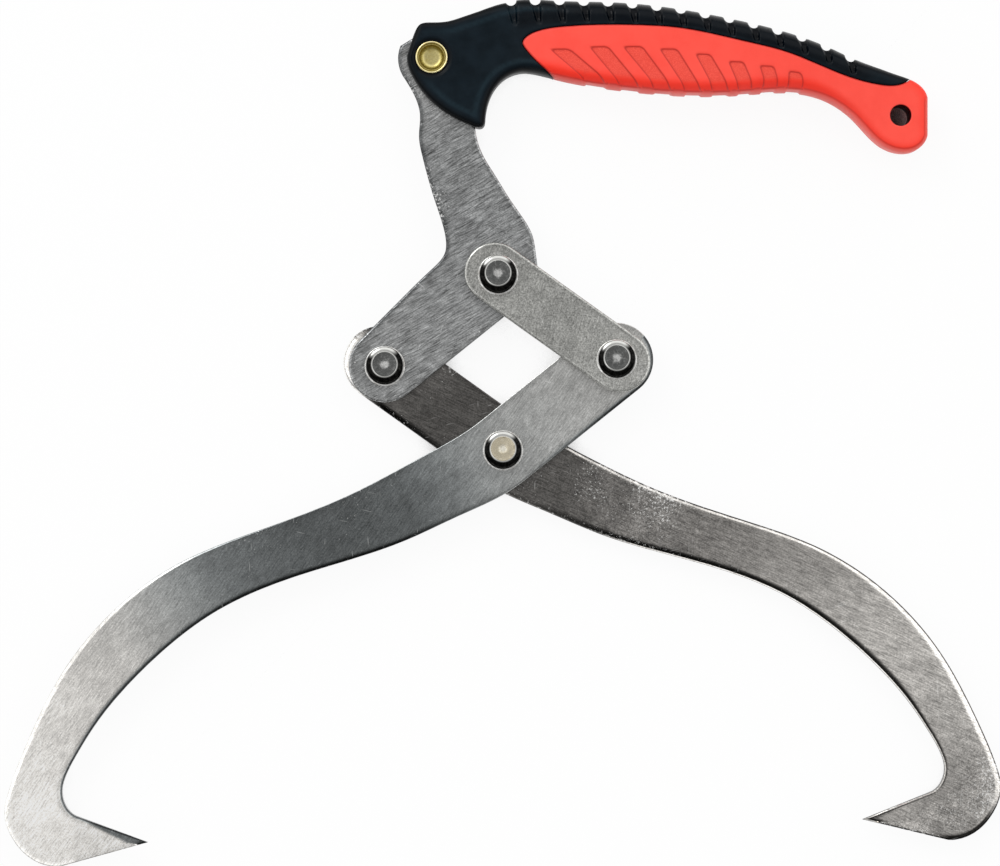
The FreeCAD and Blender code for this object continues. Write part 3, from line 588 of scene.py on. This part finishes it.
STEEL_LEVER = plate_steel("lever_sanded_steel", 28, (3, 8, 2), srgb(248, 251, 252), srgb(255, 252, 248),
                          grain=0.8, length=5.0, speckle=0.8)
STEEL_LINK = plate_steel("link_matt_steel", 70, (21, 4, 6), srgb(252, 252, 246), srgb(253, 253, 248),
                         grain=0.3, length=2.0, speckle=1.5)
STEEL_FRONT = plate_steel("front_jaw_steel", 52, (11, 17, 4), srgb(244, 251, 252), srgb(255, 252, 247),
                          grain=0.34, length=4.0, speckle=0.9)
STEEL_REAR = plate_steel("rear_jaw_steel", -27, (31, 25, 8), srgb(255, 250, 244), srgb(255, 251, 245),
                         grain=0.5, length=6.0, speckle=1.0)
RIVET = turned_steel("rivet_polished_steel", srgb(214, 214, 212), srgb(98, 99, 98))
RIVET_WARM = turned_steel("centre_rivet_polished_steel", srgb(255, 250, 234), srgb(206, 196, 172))
WASHER = washer_steel("washer_bright_steel")
BRASS = brass("drawn_brass")
BLACK = black_plastic("black_moulded_plastic")
RED = red_plastic("red_moulded_plastic")


# Steel plates

PLATE_RINGS = (0.08, 0.22, 0.42, 0.7, 1.05, 1.5, 2.1, 2.8, 3.6, 4.4)
PLATE_GRID = 2.2
PLATE_EDGE = (1.3, 0.55)       # width and depth of the rolled edge
HOOK_POINT_LENGTH = 30.0       # over which a hook thins out
HOOK_POINT_THICKNESS = 1.2
CHAMFER_SLOPE = 0.33
BARE_AND_HIGHLIGHT_TONE = 0.95                    # tone of freshly bared metal, and of painted highlights
RIM_REACH = 8                  # how far from the outline the materials know the distance
STAIN = np.array((187.0, -139.0))
STAIN_SPREAD = 70

PLATES = {
    # node: material, slot, path along the plate, and at its points the tone and the wear
    "handle_lever": (STEEL_LEVER, "lever_steel", [(-35, 150), (-25, 118), (-8, 80), (-12, 60), (-50, 24)],
                     [0.40, 0.31, 0.30, 0.31, 0.32], [0.4, 0.5, 0.5, 0.2, 0.4]),
    "connecting_link": (STEEL_LINK, "link_steel", [(-6, 66), (48, 27)], [0.40, 0.46], [0.2, 0.1]),
    "front_jaw": (STEEL_FRONT, "front_jaw_steel",
                  [(48, 32), (0, -7), (-40, -27), (-80, -42), (-115, -55), (-150, -85), (-176, -125),
                   (-183, -142), (-182, -155), (-172, -161), (-150, -164)],
                  [0.54, 0.43, 0.15, 0.12, 0.24, 0.59, 0.83, 0.98, 1.0, 1.0, 1.0],
                  [0.0, 0.0, 0.2, 0.3, 0.1, 0.0, 0.0, 0.0, 0.0, 0.0, 0.0]),
    "rear_jaw": (STEEL_REAR, "rear_jaw_steel",
                 [(-50, 30), (-25, 8), (0, -7), (25, -22), (55, -36), (80, -44), (110, -56), (150, -85),
                  (176, -120), (182, -138), (180, -150), (172, -154), (150, -156)],
                 [0.20, 0.095, 0.11, 0.125, 0.25, 0.24, 0.40, 0.58, 0.55, 0.45, 0.43, 0.44, 0.44],
                 [0.5, 0.3, 0.3, 0.5, 0.9, 0.5, 0.1, 0.1, 0.3, 0.9, 1.0, 0.9, 0.6]),
}


class Hook(NamedTuple):
    """The edges of a hook: widths and depths in millimetres, the others from 0 to 1."""
    tip: tuple
    outside: int              # the side of the path that is the hook's outside
    point_shade_width: tuple        # painted shade along the point's upper edge: where it starts, and what the tip adds
    torn_width: float         # along the torn cut under the point
    torn_dark: float
    torn_wear: float
    inner_shade_width: float        # painted shade along the inner edge
    inner_shade_lost: float         # how much narrower the painted shade is in the throat
    inner_shade_dark: float
    inner_edge: tuple         # width and depth of the rolled edge
    outer_edge: tuple


HOOKS = {
    "front_jaw": Hook((-142.2, -163.6), -1, (0.4, 3.6), 0.4, 0.25, 0.5, 1.3, 0.3, 0.88, (2.4, 0.9),
                      (0.35, 0.12)),
    "rear_jaw": Hook((143.8, -154.9), 1, (0.2, 1.6), 0.9, 0.55, 0.9, 2.4, 0.45, 0.96, (2.3, 1.6),
                     (0.7, 0.3)),
}


def darken(tone, share):
    return tone * (1 - share)


# Lifts a tone towards bare metal, for bare ends and for painted highlights
def brighten(tone, share):
    return tone + (BARE_AND_HIGHLIGHT_TONE - tone) * share


def hook_surface(hook, points, gap, side, tone, wear):
    """Tone, wear, thinning towards the point and width of the chamfer, all at the points of a jaw."""
    right = hook.outside > 0
    x, y = points[:, 0], points[:, 1]
    out = np.abs(x)
    from_tip = np.linalg.norm(points - np.array(hook.tip), axis=1)
    thin = np.clip(1 - from_tip / HOOK_POINT_LENGTH, 0, 1)
    outer_side = side * hook.outside > 0
    inner_side = ~outer_side
    upper = (from_tip < 48) & inner_side
    torn = (from_tip < 38) & outer_side
    # Painted shade darkens the point's upper edge, wider towards the tip
    point_shade = hook.point_shade_width[0] + hook.point_shade_width[1] * thin
    tone = darken(tone, 0.75 * upper * smooth(point_shade + 0.7, point_shade - 0.5, gap) * smooth(0.0, 0.3, thin))
    # The cut under the point is torn, and the torn metal catches the light here and there
    tone = darken(tone, hook.torn_dark * torn * smooth(hook.torn_width, 0.2, gap))
    wear = np.maximum(wear, hook.torn_wear * torn * smooth(2.6, 0.5, gap) * smooth(38, 30, from_tip))
    # Painted shade darkens the inner edge, narrower in the throat
    width = hook.inner_shade_width * (1 - hook.inner_shade_lost * smooth(60, 40, from_tip))
    scale = inner_side * smooth(4, 45, out) * smooth(width + 0.6, width - 0.6, gap)
    if right:
        scale = scale * smooth(-56, -48, x)
    tone = darken(tone, hook.inner_shade_dark * scale)
    if right:
        # A painted highlight runs along the very edge of the inner side
        inner_edge_highlight = smooth(30, 70, x) * smooth(0.62, 0.45, gap) * smooth(0.08, 0.2, gap)
        tone = brighten(tone, inner_side * inner_edge_highlight)
        wear = np.where(upper, np.minimum(wear, smooth(2.0, 6.0, gap)), wear)
    # The outer edge is chamfered, wider towards the hook, and a painted highlight lifts its face
    if right:
        chamfer = outer_side * smooth(8, 30, x) * (1.5 + 0.8 * smooth(120, 185, out))
        chamfer_highlight = 0.5 + 0.4 * smooth(70, 160, out)
    else:
        chamfer = outer_side * smooth(60, 170, out) * smooth(-162, -140, y) * 1.4
        chamfer_highlight = 0.25
    chamfer = chamfer * smooth(36, 44, from_tip)
    face = smooth(chamfer + 0.15, chamfer - 0.35, gap) * smooth(0.3, 0.6, gap) * (chamfer > 0.4)
    tone = brighten(tone, face * chamfer_highlight)
    if right:
        # A painted dark line runs along the very outer edge
        tone = darken(tone, 0.85 * outer_side * smooth(10, 30, out) * smooth(0.7, 0.35, gap))
        # A crescent of painted shade round the lower corner, and a stain above it
        corner = outer_side * smooth(29, 36, from_tip) * smooth(60, 48, from_tip)
        tone = darken(tone, 0.95 * corner * smooth(2.6, 1.5, gap))
        wear = darken(wear, corner * smooth(3.2, 2.0, gap))
        tone = darken(tone, 0.18 * np.exp(-((points - STAIN) ** 2).sum(1) / STAIN_SPREAD))
    return tone, wear, thin, chamfer


def plate_heights(node, outer, path, tones, wears):
    low, high = span(node)
    centre = (low[2] + high[2]) / 2
    half = (high[2] - low[2]) / 2
    path = np.array(path, float)

    def heights(points):
        gap = loop_distance(points, [outer])
        side = path_side(points, path)
        tone = along_path(points, path, tones)
        wear = along_path(points, path, wears)
        thin = 0.0
        chamfer = 0.0
        edge = PLATE_EDGE
        if node == "handle_lever":
            # The long edge away from the hooks is darker close to its rim
            dark_edge = (side < 0) * smooth(30, 45, points[:, 1])
            tone = darken(tone, 0.75 * dark_edge * smooth(2.0, 0.3, gap))
        if node == "rear_jaw":
            # The round end behind the lever is bare and bright
            tone = brighten(tone, smooth(-54, -59, points[:, 0]))
        if node in HOOKS:
            hook = HOOKS[node]
            tone, wear, thin, chamfer = hook_surface(hook, points, gap, side, tone, wear)
            outer_side = side * hook.outside > 0
            edge = [np.where(outer_side, *pair) for pair in zip(hook.outer_edge, hook.inner_edge)]
        thickness = half - (half - HOOK_POINT_THICKNESS / 2) * thin
        drop = rolled(gap, *edge) + CHAMFER_SLOPE * np.clip(chamfer - gap, 0, None)
        front = centre + thickness - np.minimum(drop, thickness * 0.8)
        back = centre - thickness + rolled(gap, 0.6, 0.35 * thickness / half)
        return front, back, {"tone": tone, "rim": np.clip(gap, 0, RIM_REACH), "wear": wear}
    return heights


for node, (material, slot, path, tones, wears) in PLATES.items():
    outlines = cut_loops(node, middle(node)[2])
    outlines = [resample(outlines[0], 0.8)] + [resample(loop, 0.7) for loop in outlines[1:]]
    piece = relief(node + "_plate", outlines, PLATE_RINGS, PLATE_GRID,
                   plate_heights(node, outlines[0], path, tones, wears), material)
    stand_for(piece, node)


# Rivets, washers and spacers

RIVET_HEAD = 4.5
RIVET_TAIL = 4.0
SHANK_RADIUS = 4.0
PEEN_SHIFT = 0.75
BORE_RADIUS = 4.05
WASHER_RADIUS = {"head_washer": 8.1, "tail_washer": 8.1, "plate_spacer": 9.0}
WASHER_EDGE = 0.3


def arc_points(centre_radius, centre_height, wide, tall, start, end, count):
    """Points of an ellipse's arc in a turned profile."""
    angles = np.radians(np.linspace(start, end, count))
    return [(centre_radius + wide * math.cos(angle), centre_height + tall * math.sin(angle))
            for angle in angles]


def peen(rivet, place, top):
    """The head was struck off centre: its flat top sits towards the handle, where a painted highlight
    lightens the painted shade on the flank.
    """
    layer = rivet.data.attributes["flank_shade"].data
    for vert, entry in zip(rivet.data.vertices, layer):
        away = np.array(vert.co[:2]) * MM_PER_M - place
        rise = math.degrees(math.atan2(away[1], away[0]))
        # Painted highlight on the flank's side towards the handle
        entry.value *= 1 - 0.72 * float(smooth(62.0, 34.0, abs(rise - 98)))
        vert.co.y += PEEN_SHIFT / MM_PER_M * float(smooth(top - 2.2, top - 0.5, vert.co.z * MM_PER_M))


for name, place in PIVOT.items():
    low, high = span(name + "_rivet")
    bottom, top = low[2], high[2]
    head = top - RIVET_HEAD
    tail = bottom + RIVET_TAIL
    profile = [(0, bottom + 0.15), (1.6, bottom + 0.05), (4.2, bottom)]
    profile += arc_points(4.4, bottom + 3.2, 2.2, 3.2, -90, 0, 10)
    profile += [(6.6, tail - 0.1), (6.5, tail), (SHANK_RADIUS, tail), (SHANK_RADIUS, head), (7.3, head),
                (7.4, head + 0.1), (7.4, top - 2.0)]
    profile += arc_points(5.3, top - 1.75, 2.1, 1.65, 0, 84, 14)
    profile += [(5.0, top - 0.02), (4.8, top), (4.5, top - 0.02), (4.2, top - 0.08), (3.2, top - 0.12),
                (2.2, top - 0.14), (1.7, top - 0.2), (1.2, top - 0.32), (0.6, top - 0.36), (0, top - 0.33)]
    flat = [1.0 if radius < 4.9 and height > head + 4 or height < bottom + 0.2 else 0.0
            for radius, height in profile]
    # Painted shade on the head's flank
    flank_shade = [float(head + 0.05 < height and radius > 5.5) for radius, height in profile]
    core = [max(0.0, 1 - radius / 2.3) for radius, height in profile]
    rivet = lathe(name + "_rivet_turned", place, profile, RIVET_WARM if name == "centre" else RIVET,
                  attributes={"flat": flat, "flank_shade": flank_shade, "core": core})
    peen(rivet, place, top)
    stand_for(rivet, name + "_rivet")
    for part, outer in WASHER_RADIUS.items():
        node = name + "_" + part
        low, high = span(node)
        bottom, top = low[2], high[2]
        edge = min(WASHER_EDGE, (top - bottom) / 2.5)
        profile = [(BORE_RADIUS, bottom), (outer - edge, bottom)]
        profile += arc_points(outer - edge, bottom + edge, edge, edge, -60, 0, 3)
        profile += arc_points(outer - edge, top - edge, edge, edge, 0, 90, 4)
        profile += [(BORE_RADIUS, top)]
        ring = lathe(node + "_turned", place, profile, WASHER)
        stand_for(ring, node)


# Brass rivet

BARREL_RADIUS = 5.0
STEM_HOLE = (3.25, 6.6)   # radius and depth of the hole in the barrel that the cap's stem goes into
STEM_RADIUS = 3.2
CUP_DEPTH = 3.5

low, high = span("brass_barrel")
base, top = low[2], high[2]
profile = [(0, base + STEM_HOLE[1]), (STEM_HOLE[0], base + STEM_HOLE[1]), (STEM_HOLE[0], base),
           (BARREL_RADIUS, base), (BARREL_RADIUS, top - 1.0), (6.35, top - 1.0)]
profile += arc_points(6.0, top - 0.4, 0.4, 0.4, -20, 90, 6)
profile += [(5.9, top - 0.02), (5.7, top - 0.12), (5.5, top - 0.4), (5.25, top - 1.1), (4.95, top - 1.8),
            (4.5, top - 2.5), (3.9, top - 3.0), (3.3, top - 3.25), (2.4, top - 3.34), (0, top - 3.38)]
cup = [(1.0 if radius > 3.6 else 0.7) if radius < 5.75 and height > top - CUP_DEPTH else 0.0
       for radius, height in profile]
barrel = lathe("brass_barrel_turned", HUB, profile, BRASS, attributes={"cup": cup})
stand_for(barrel, "brass_barrel")

low, high = span("brass_cap")
bottom, top = low[2], high[2]
profile = [(0, bottom), (5.4, bottom)] + arc_points(5.9, bottom + 0.5, 0.5, 0.5, -90, 0, 6)
profile += [(6.4, bottom + 1.0), (STEM_RADIUS, bottom + 1.0), (STEM_RADIUS, top - 0.3), (2.9, top), (0, top)]
cap = lathe("brass_cap_turned", HUB, profile, BRASS, attributes={"cup": [0.0] * len(profile)})
stand_for(cap, "brass_cap")


# Handle: places are taken from the hub, u towards the tail and v upwards

HALF_WIDTH_AT = ([0, 24, 31.4, 48.5, 73.4, 98.3, 123.4, 146.4, 158.4, 168.3, 178.4, 186.3, 192.9, 197.8],
                 [7.5, 7.5, 7.7, 9.6, 11.5, 12.0, 12.0, 11.6, 10.9, 10.0, 9.1, 8.6, 8.4, 8.2])
RIM_WIDTH_AT = ([0, 14, 24, 40, 56, 150, 172, 186, 198], [2.4, 2.6, 3.4, 4.8, 6.4, 6.4, 4.6, 3.2, 2.8])
RIM_HEIGHT_AT = ([0, 20, 48, 150, 172, 198], [5.0, 4.6, 1.2, 1.0, 2.6, 4.4])
RIM_ROUNDNESS = 2.3
SPINE_TOP_AT = ([31.4, 48.5, 73.4, 98.3, 123.4, 146.4, 158.4, 168.3, 178.4],
                [22.6, 22.9, 22.0, 19.4, 14.6, 8.6, 4.0, -0.6, -4.3])
GRIP_MIDDLE_AT = ([40, 100, 130, 150, 165, 178, 190, 198], [-5, -5, -6, -9, -15, -21, -20, -16])
CUT_ABOVE_MIDDLE = 2.2
FIRST_NOTCH = 31.6
NOTCH_PITCH = 9.66
NOTCH_COUNT = 15
NOTCH_RADIUS = 2.2
GROOVE_LEAN = 0.16        # how far a groove moves towards the tail for each millimetre down
GROOVE_NARROWING = 1.35
GROOVE_DEPTH = 1.25
SEAM_GAP = 0.25
BELLY_STEP = 1.0
NOSE_CORNER = (-33.7, 163.2)
NOSE_PASSES = 40


def spine_top(u):
    return np.interp(u, *SPINE_TOP_AT)


notch_u = FIRST_NOTCH + NOTCH_PITCH * np.arange(NOTCH_COUNT)
notch_centres = np.stack([notch_u, spine_top(notch_u) + 0.2], 1) + HUB
frame_loops = cut_loops("handle_frame", HANDLE_Z + CUT_ABOVE_MIDDLE)
grip_loops = cut_loops("handle_grip", HANDLE_Z + CUT_ABOVE_MIDDLE)


def silhouette():
    """The handle's outer outline without its notches and its seam, as the starts and ends of segments."""
    starts = []
    ends = []
    for loop, other in ((frame_loops[0], grip_loops[0]), (grip_loops[0], frame_loops[0])):
        loop = resample(loop, 0.4)
        from_notch = np.min(np.linalg.norm(loop[:, None] - notch_centres[None], axis=2), 1)
        loop = loop[from_notch >= NOTCH_RADIUS + 0.12]
        seam = loop_distance(loop, [other]) < SEAM_GAP * 2.4
        real = ~(seam & np.roll(seam, -1))
        starts.append(loop[real])
        ends.append(np.roll(loop, -1, 0)[real])
    return np.concatenate(starts), np.concatenate(ends)


SILHOUETTE = silhouette()

WINDOWS = [
    # the left and the right side of each, from its top edge over its knee to the belly
    (((47.2, 3.0), (60.6, -8.5), (61.4, -11.2)), ((54.9, 3.0), (67.4, -7.7), (69.9, -12.4))),
    (((62.9, 3.8), (73.8, -9.3), (75.9, -13.2)), ((70.1, 3.9), (81.3, -9.7), (83.1, -13.6))),
    (((76.2, 3.8), (86.9, -9.1), (89.1, -14.4)), ((83.7, 3.9), (93.2, -8.9), (95.9, -14.8))),
    (((90.7, 2.9), (99.6, -10.5), (101.4, -15.2)), ((97.6, 2.8), (105.6, -10.1), (107.8, -15.2))),
    (((104.9, 0.9), (110.4, -9.3), (112.2, -15.2)), ((110.8, 0.7), (116.7, -9.3), (118.6, -15.2))),
    (((118.0, -2.1), (121.1, -9.3), (122.6, -14.9)), ((124.0, -2.3), (127.0, -9.3), (127.6, -14.9))),
    (((130.4, -3.7), (132.2, -9.3), (131.4, -14.4)), ((136.1, -4.1), (137.6, -9.3), (137.3, -14.4))),
    (((142.0, -5.9), (142.0, -10.1), (141.3, -14.6)), ((146.9, -6.6), (147.9, -10.1), (146.9, -14.8))),
]
KNEE_STEPS = (-1.4, -0.7, 0.0, 0.7, 1.4)
WINDOW_CORNER = 1.5


def side_line(side, v):
    """Place of a window's side at a height, with its knee eased."""
    side = np.array(side)
    side = np.concatenate([[side[0] + (side[0] - side[1]) * 0.3], side])
    eased = sum(np.interp(-(v + step), -side[:, 1], side[:, 0]) for step in KNEE_STEPS)
    return eased / len(KNEE_STEPS)


def window_depth_at(points):
    """How far each point lies inside a window, negative outside."""
    u, v = (points - HUB).T
    best = np.full(len(points), -99.0)
    for left, right in WINDOWS:
        share = (u - left[0][0]) / (right[0][0] - left[0][0])
        near = left[0][1] + (right[0][1] - left[0][1]) * share - v
        for side, sign in ((left, 1), (right, -1)):
            slope = (side_line(side, v + 0.2) - side_line(side, v - 0.2)) / 0.4
            other = sign * (u - side_line(side, v)) / np.sqrt(1 + slope ** 2)
            blend = np.clip(0.5 + 0.5 * (other - near) / WINDOW_CORNER, 0, 1)
            near = other * (1 - blend) + near * blend - WINDOW_CORNER * blend * (1 - blend)
        best = np.maximum(best, near)
    return best


def groove_at(points):
    """Depth of the grooves that run down from the notches, from 0 to 1."""
    u, v = (points - HUB).T
    deepest = np.zeros(len(points))
    for start in notch_u:
        drop = spine_top(start) - v
        share = np.clip(drop / np.interp(start, [30, 60, 170], [10.0, 9.2, 7.2]), -0.3, 1.2)
        half = NOTCH_RADIUS - GROOVE_NARROWING * np.clip(share, 0, 1)
        across = np.abs(u - (start + drop * GROOVE_LEAN)) / half
        deepest = np.maximum(deepest, smooth(1.25, 0.55, across) * smooth(1.05, 0.75, share))
    return deepest


def handle_height(points):
    """Half thickness of the handle before its seam and details, and the distance to its silhouette."""
    gap = distance(points, *SILHOUETTE)
    u = (points - HUB)[:, 0]
    widest = np.interp(u, *HALF_WIDTH_AT)
    foot = np.interp(u, *RIM_HEIGHT_AT)
    share = np.clip(1 - gap / np.interp(u, *RIM_WIDTH_AT), 0, 1)
    level = foot + (widest - foot) * (1 - share ** RIM_ROUNDNESS) ** (1 / RIM_ROUNDNESS)
    return level, gap


def frame_heights(points):
    """The black half: grooves under the notches, and a recess round the brass rivet."""
    places = points - HUB
    u, v = places.T
    from_hub = np.linalg.norm(places, axis=1)
    level, gap = handle_height(points)
    seam = loop_distance(points, [grip_loops[0]]) - SEAM_GAP
    grooves = groove_at(points)
    level = level - GROOVE_DEPTH * grooves * smooth(0.0, 0.6, seam)
    level = level - rolled(np.maximum(seam, 0), 0.9, 0.55)
    level = level - 0.45 * smooth(7.7, 7.2, from_hub)
    spine = smooth(31, 37, u) * smooth(178, 170, u) * smooth(12.5, 8.5, spine_top(u) - v)
    # Painted shade on the spine's lugs, deepest in the grooves, and round the brass rivet's recess
    lug_and_recess_shade = spine * smooth(0.3, 1.5, seam) * (0.72 + 0.28 * grooves)
    lug_and_recess_shade = np.maximum(lug_and_recess_shade, smooth(8.4, 7.4, from_hub))
    # A painted highlight along the nose's rim
    nose_rim_highlight = bell(gap, 4.3, 0.9) * smooth(60, 35, u) * smooth(8.0, 14.0, from_hub)
    attributes = {"lug_and_recess_shade": lug_and_recess_shade, "rim": np.clip(gap, 0, RIM_REACH), "nose_rim_highlight": nose_rim_highlight}
    return HANDLE_Z + level, HANDLE_Z - level, attributes


def grip_heights(points):
    """The red half: windows, the hang hole's rounded mouth, painted shadow lines, a painted floor reflection
    along the belly and painted shade in the bore.
    """
    u, v = (points - HUB).T
    level, gap = handle_height(points)
    seam = loop_distance(points, [frame_loops[0]]) - SEAM_GAP
    from_hole = loop_distance(points, grip_outline[1:])
    into = window_depth_at(points)
    deep = smooth(-0.15, 0.45, into)
    level = level - rolled(np.maximum(seam, 0), 0.8, 0.4)
    level = level - deep * (0.40 + 0.45 * smooth(4.5, 1.5, gap))
    level = level - 0.18 * bell(into, 0, 0.3) * smooth(0.5, 1.5, gap)
    level = level - rolled(from_hole, 0.6, 0.4)
    lower = smooth(3.0, -3.0, v - np.interp(u, *GRIP_MIDDLE_AT))
    # Painted shadow lines along the windows' edges, along the seam and along the belly
    shadow_line = bell(into, 0.05, 0.28) * smooth(0.8, 2.5, gap)
    shadow_line = np.maximum(shadow_line, smooth(0.7, 0.15, seam))
    shadow_line = np.maximum(shadow_line, 0.75 * lower * bell(gap, 1.35, 0.28))
    attributes = {
        # rim also carries the painted shade where the grip turns under, held back towards the tail
        "rim": np.clip(gap + 2.6 * smooth(148, 172, u), 0, RIM_REACH),
        "window": deep * smooth(4.2, 5.8, gap),
        "edge_shadow": shadow_line,
        # Painted shade in the hang hole's bore
        "bore_shade": smooth(0.15, 0.02, from_hole),
        # Painted reflection of the floor along the belly
        "floor_reflection": lower * smooth(1.25, 0.85, gap),
    }
    return HANDLE_Z + level, HANDLE_Z - level, attributes


def near_notches():
    """Extra points in the grooves, so that their walls come out crisp."""
    places = []
    for start in notch_u:
        for drop in np.arange(0.4, 10.5, 0.55):
            half = NOTCH_RADIUS - GROOVE_NARROWING * min(drop / 9.2, 1)
            for across in (-1.3, -1.05, -0.8, -0.5, 0, 0.5, 0.8, 1.05, 1.3):
                places.append((start + drop * GROOVE_LEAN + across * half, spine_top(start) - drop))
    return np.array(places) + HUB


def near_windows():
    """Extra points on both sides of each window's outline."""
    field = np.stack(np.meshgrid(np.arange(46, 152, 0.22), np.arange(-16, 6, 0.22)), -1).reshape(-1, 2) + HUB
    return field[np.abs(window_depth_at(field)) < 0.5]


frame_outline, grip_outline = ([resample(loops[0], 0.55)] + [resample(loop, 0.6) for loop in loops[1:]]
                               for loops in (frame_loops, grip_loops))

# The upper corner of the nose is rounded
outer = frame_outline[0]
corner = smooth(5.0, 2.5, np.linalg.norm(outer - NOSE_CORNER, axis=1))[:, None]
for _ in range(NOSE_PASSES):
    outer = outer + 0.5 * corner * ((np.roll(outer, 1, 0) + np.roll(outer, -1, 0)) / 2 - outer)
frame_outline[0] = outer

# The belly steps in where a window runs out over it
outer = grip_outline[0]
step_in = smooth(-0.3, 0.5, window_depth_at(outer)) * (distance(outer, *SILHOUETTE) < 0.2)
step_in *= smooth(-9.0, -11.0, outer[:, 1] - HUB[1])
grip_outline[0] = outer + inward(outer) * (BELLY_STEP * step_in)[:, None]

HANDLE_RINGS = (0.1, 0.3, 0.6, 1.0, 1.5, 2.1, 2.9, 3.8)
frame_piece = relief("handle_frame_moulded", frame_outline, HANDLE_RINGS, 1.1, frame_heights, BLACK,
                     near_notches(), 50.0)
stand_for(frame_piece, "handle_frame")
grip_piece = relief("handle_grip_moulded", grip_outline, HANDLE_RINGS, 1.0, grip_heights, RED,
                    near_windows(), 50.0)
stand_for(grip_piece, "handle_grip")


# Floor

FLOOR_HALF = 6              # metres
FLOOR_GLOW = 0.93           # share of its own white where a ray sees it
CLOSED_IN = (0.10, 0.34)    # openness below which the white has gone, and above which it is full
HANG_HOLE = (0.158, 0.1265, 0.0)

floor_finish = Finish("studio_floor")
rays = floor_finish.add("LightPath").outputs
seen = floor_finish.math("MAXIMUM", rays["Is Camera Ray"],
                         floor_finish.math("MAXIMUM", rays["Is Glossy Ray"], rays["Is Transmission Ray"]))
# Painted shade: the floor's own white fades only where the object closes it in
occlusion = floor_finish.add("AmbientOcclusion", samples=8)
occlusion.inputs["Distance"].default_value = 0.03
openness = floor_finish.remap(occlusion.outputs["AO"], *CLOSED_IN)
# A painted shadow takes it away right under the hang hole, which is a deep and narrow bore
from_bore = floor_finish.add("VectorMath", floor_finish.place, HANG_HOLE, operation="DISTANCE")
openness = floor_finish.times(openness, floor_finish.remap(from_bore.outputs["Value"], 0.007, 0.011))
# Painted shade also darkens the floor's colour where the object closes it in
floor_colour = floor_finish.grey(floor_finish.remap(occlusion.outputs["AO"], *CLOSED_IN, 0.04, 0.86))
floor_finish.set(Base_Color=floor_colour, Roughness=0.9, Specular_IOR_Level=0.1)
glow = floor_finish.add("Emission", WHITE)
blend = floor_finish.add("MixShader", floor_finish.times(seen, FLOOR_GLOW, openness),
                         floor_finish.shader.outputs[0], glow.outputs[0])
floor_finish.put(floor_finish.output.inputs[0], blend.outputs[0])
floor_mesh = bpy.data.meshes.new("floor")
floor_corners = [(x * FLOOR_HALF, y * FLOOR_HALF, 0) for x, y in ((-1, -1), (1, -1), (1, 1), (-1, 1))]
floor_mesh.from_pydata(floor_corners, [], [(0, 1, 2, 3)])
floor_mesh.materials.append(floor_finish.material)
floor = add_object("floor", floor_mesh)


# World: bright above and at the sides, dim towards the bottom of the picture

bpy.context.scene.world = bpy.data.worlds.new("studio")
sky = Nodes(bpy.context.scene.world)
east, north, up = sky.add("SeparateXYZ", sky.add("TexCoord").outputs["Generated"]).outputs
side_light = sky.remap(up, 0.84, 0.985, 1.40, 0.52)
dim = sky.remap(north, -0.55, -0.14, 0.28, 1.0)
low_sky = sky.remap(up, 0.10, 0.42, 0.32, 1.0)
# A soft bright patch near the zenith, which the left hook mirrors
PATCH_PLACE = (-0.16, -0.11)
PATCH_WIDTH = 0.065
PATCH_STRENGTH = 1.1
across, along = (sky.math("SUBTRACT", axis, place) for axis, place in zip((east, north), PATCH_PLACE))
square = sky.plus(sky.times(across, across), sky.times(along, along))
patch = sky.math("EXPONENT", sky.math("DIVIDE", square, -2 * PATCH_WIDTH * PATCH_WIDTH))
# A low strip of light draws the thin bright line along the lowest edges
strip = sky.times(sky.remap(north, -0.80, -0.55, 1.3, 0.0), sky.remap(up, 0.10, 0.26, 1.0, 0.0))
strength = sky.plus(sky.times(side_light, dim, low_sky), sky.times(patch, PATCH_STRENGTH), strip)
light = sky.add("Background", WHITE, strength)
backdrop = sky.add("Background", WHITE, 1.0)
chosen = sky.add("MixShader", sky.add("LightPath").outputs["Is Camera Ray"], light.outputs[0],
                 backdrop.outputs[0])
sky.add("OutputWorld", chosen.outputs[0])


# Lamp

LAMP_PLACE = Vector((-0.9, 1.1, 1.3))
LAMP_SIZE = 0.9
LAMP_POWER = 7

lamp_data = bpy.data.lights.new("key_lamp", "AREA")
lamp_data.shape = "DISK"
lamp_data.size = LAMP_SIZE
lamp_data.energy = LAMP_POWER
lamp = add_object("key_lamp", lamp_data)
lamp.location = LAMP_PLACE
lamp.rotation_mode = "QUATERNION"
lamp.rotation_quaternion = (-LAMP_PLACE).to_track_quat("-Z", "Y")


# Camera: straight above, looking down

CAMERA_PLACE = (-0.00144, 0.00003, 1.612)

camera_data = bpy.data.cameras.new("camera")
camera_data.sensor_width = 36
camera_data.lens = 144
camera_data.clip_start = 0.05
camera_data.clip_end = 20
camera = add_object("camera", camera_data)
camera.location = CAMERA_PLACE
bpy.context.scene.camera = camera
bpy.context.scene.view_settings.view_transform = "Standard"
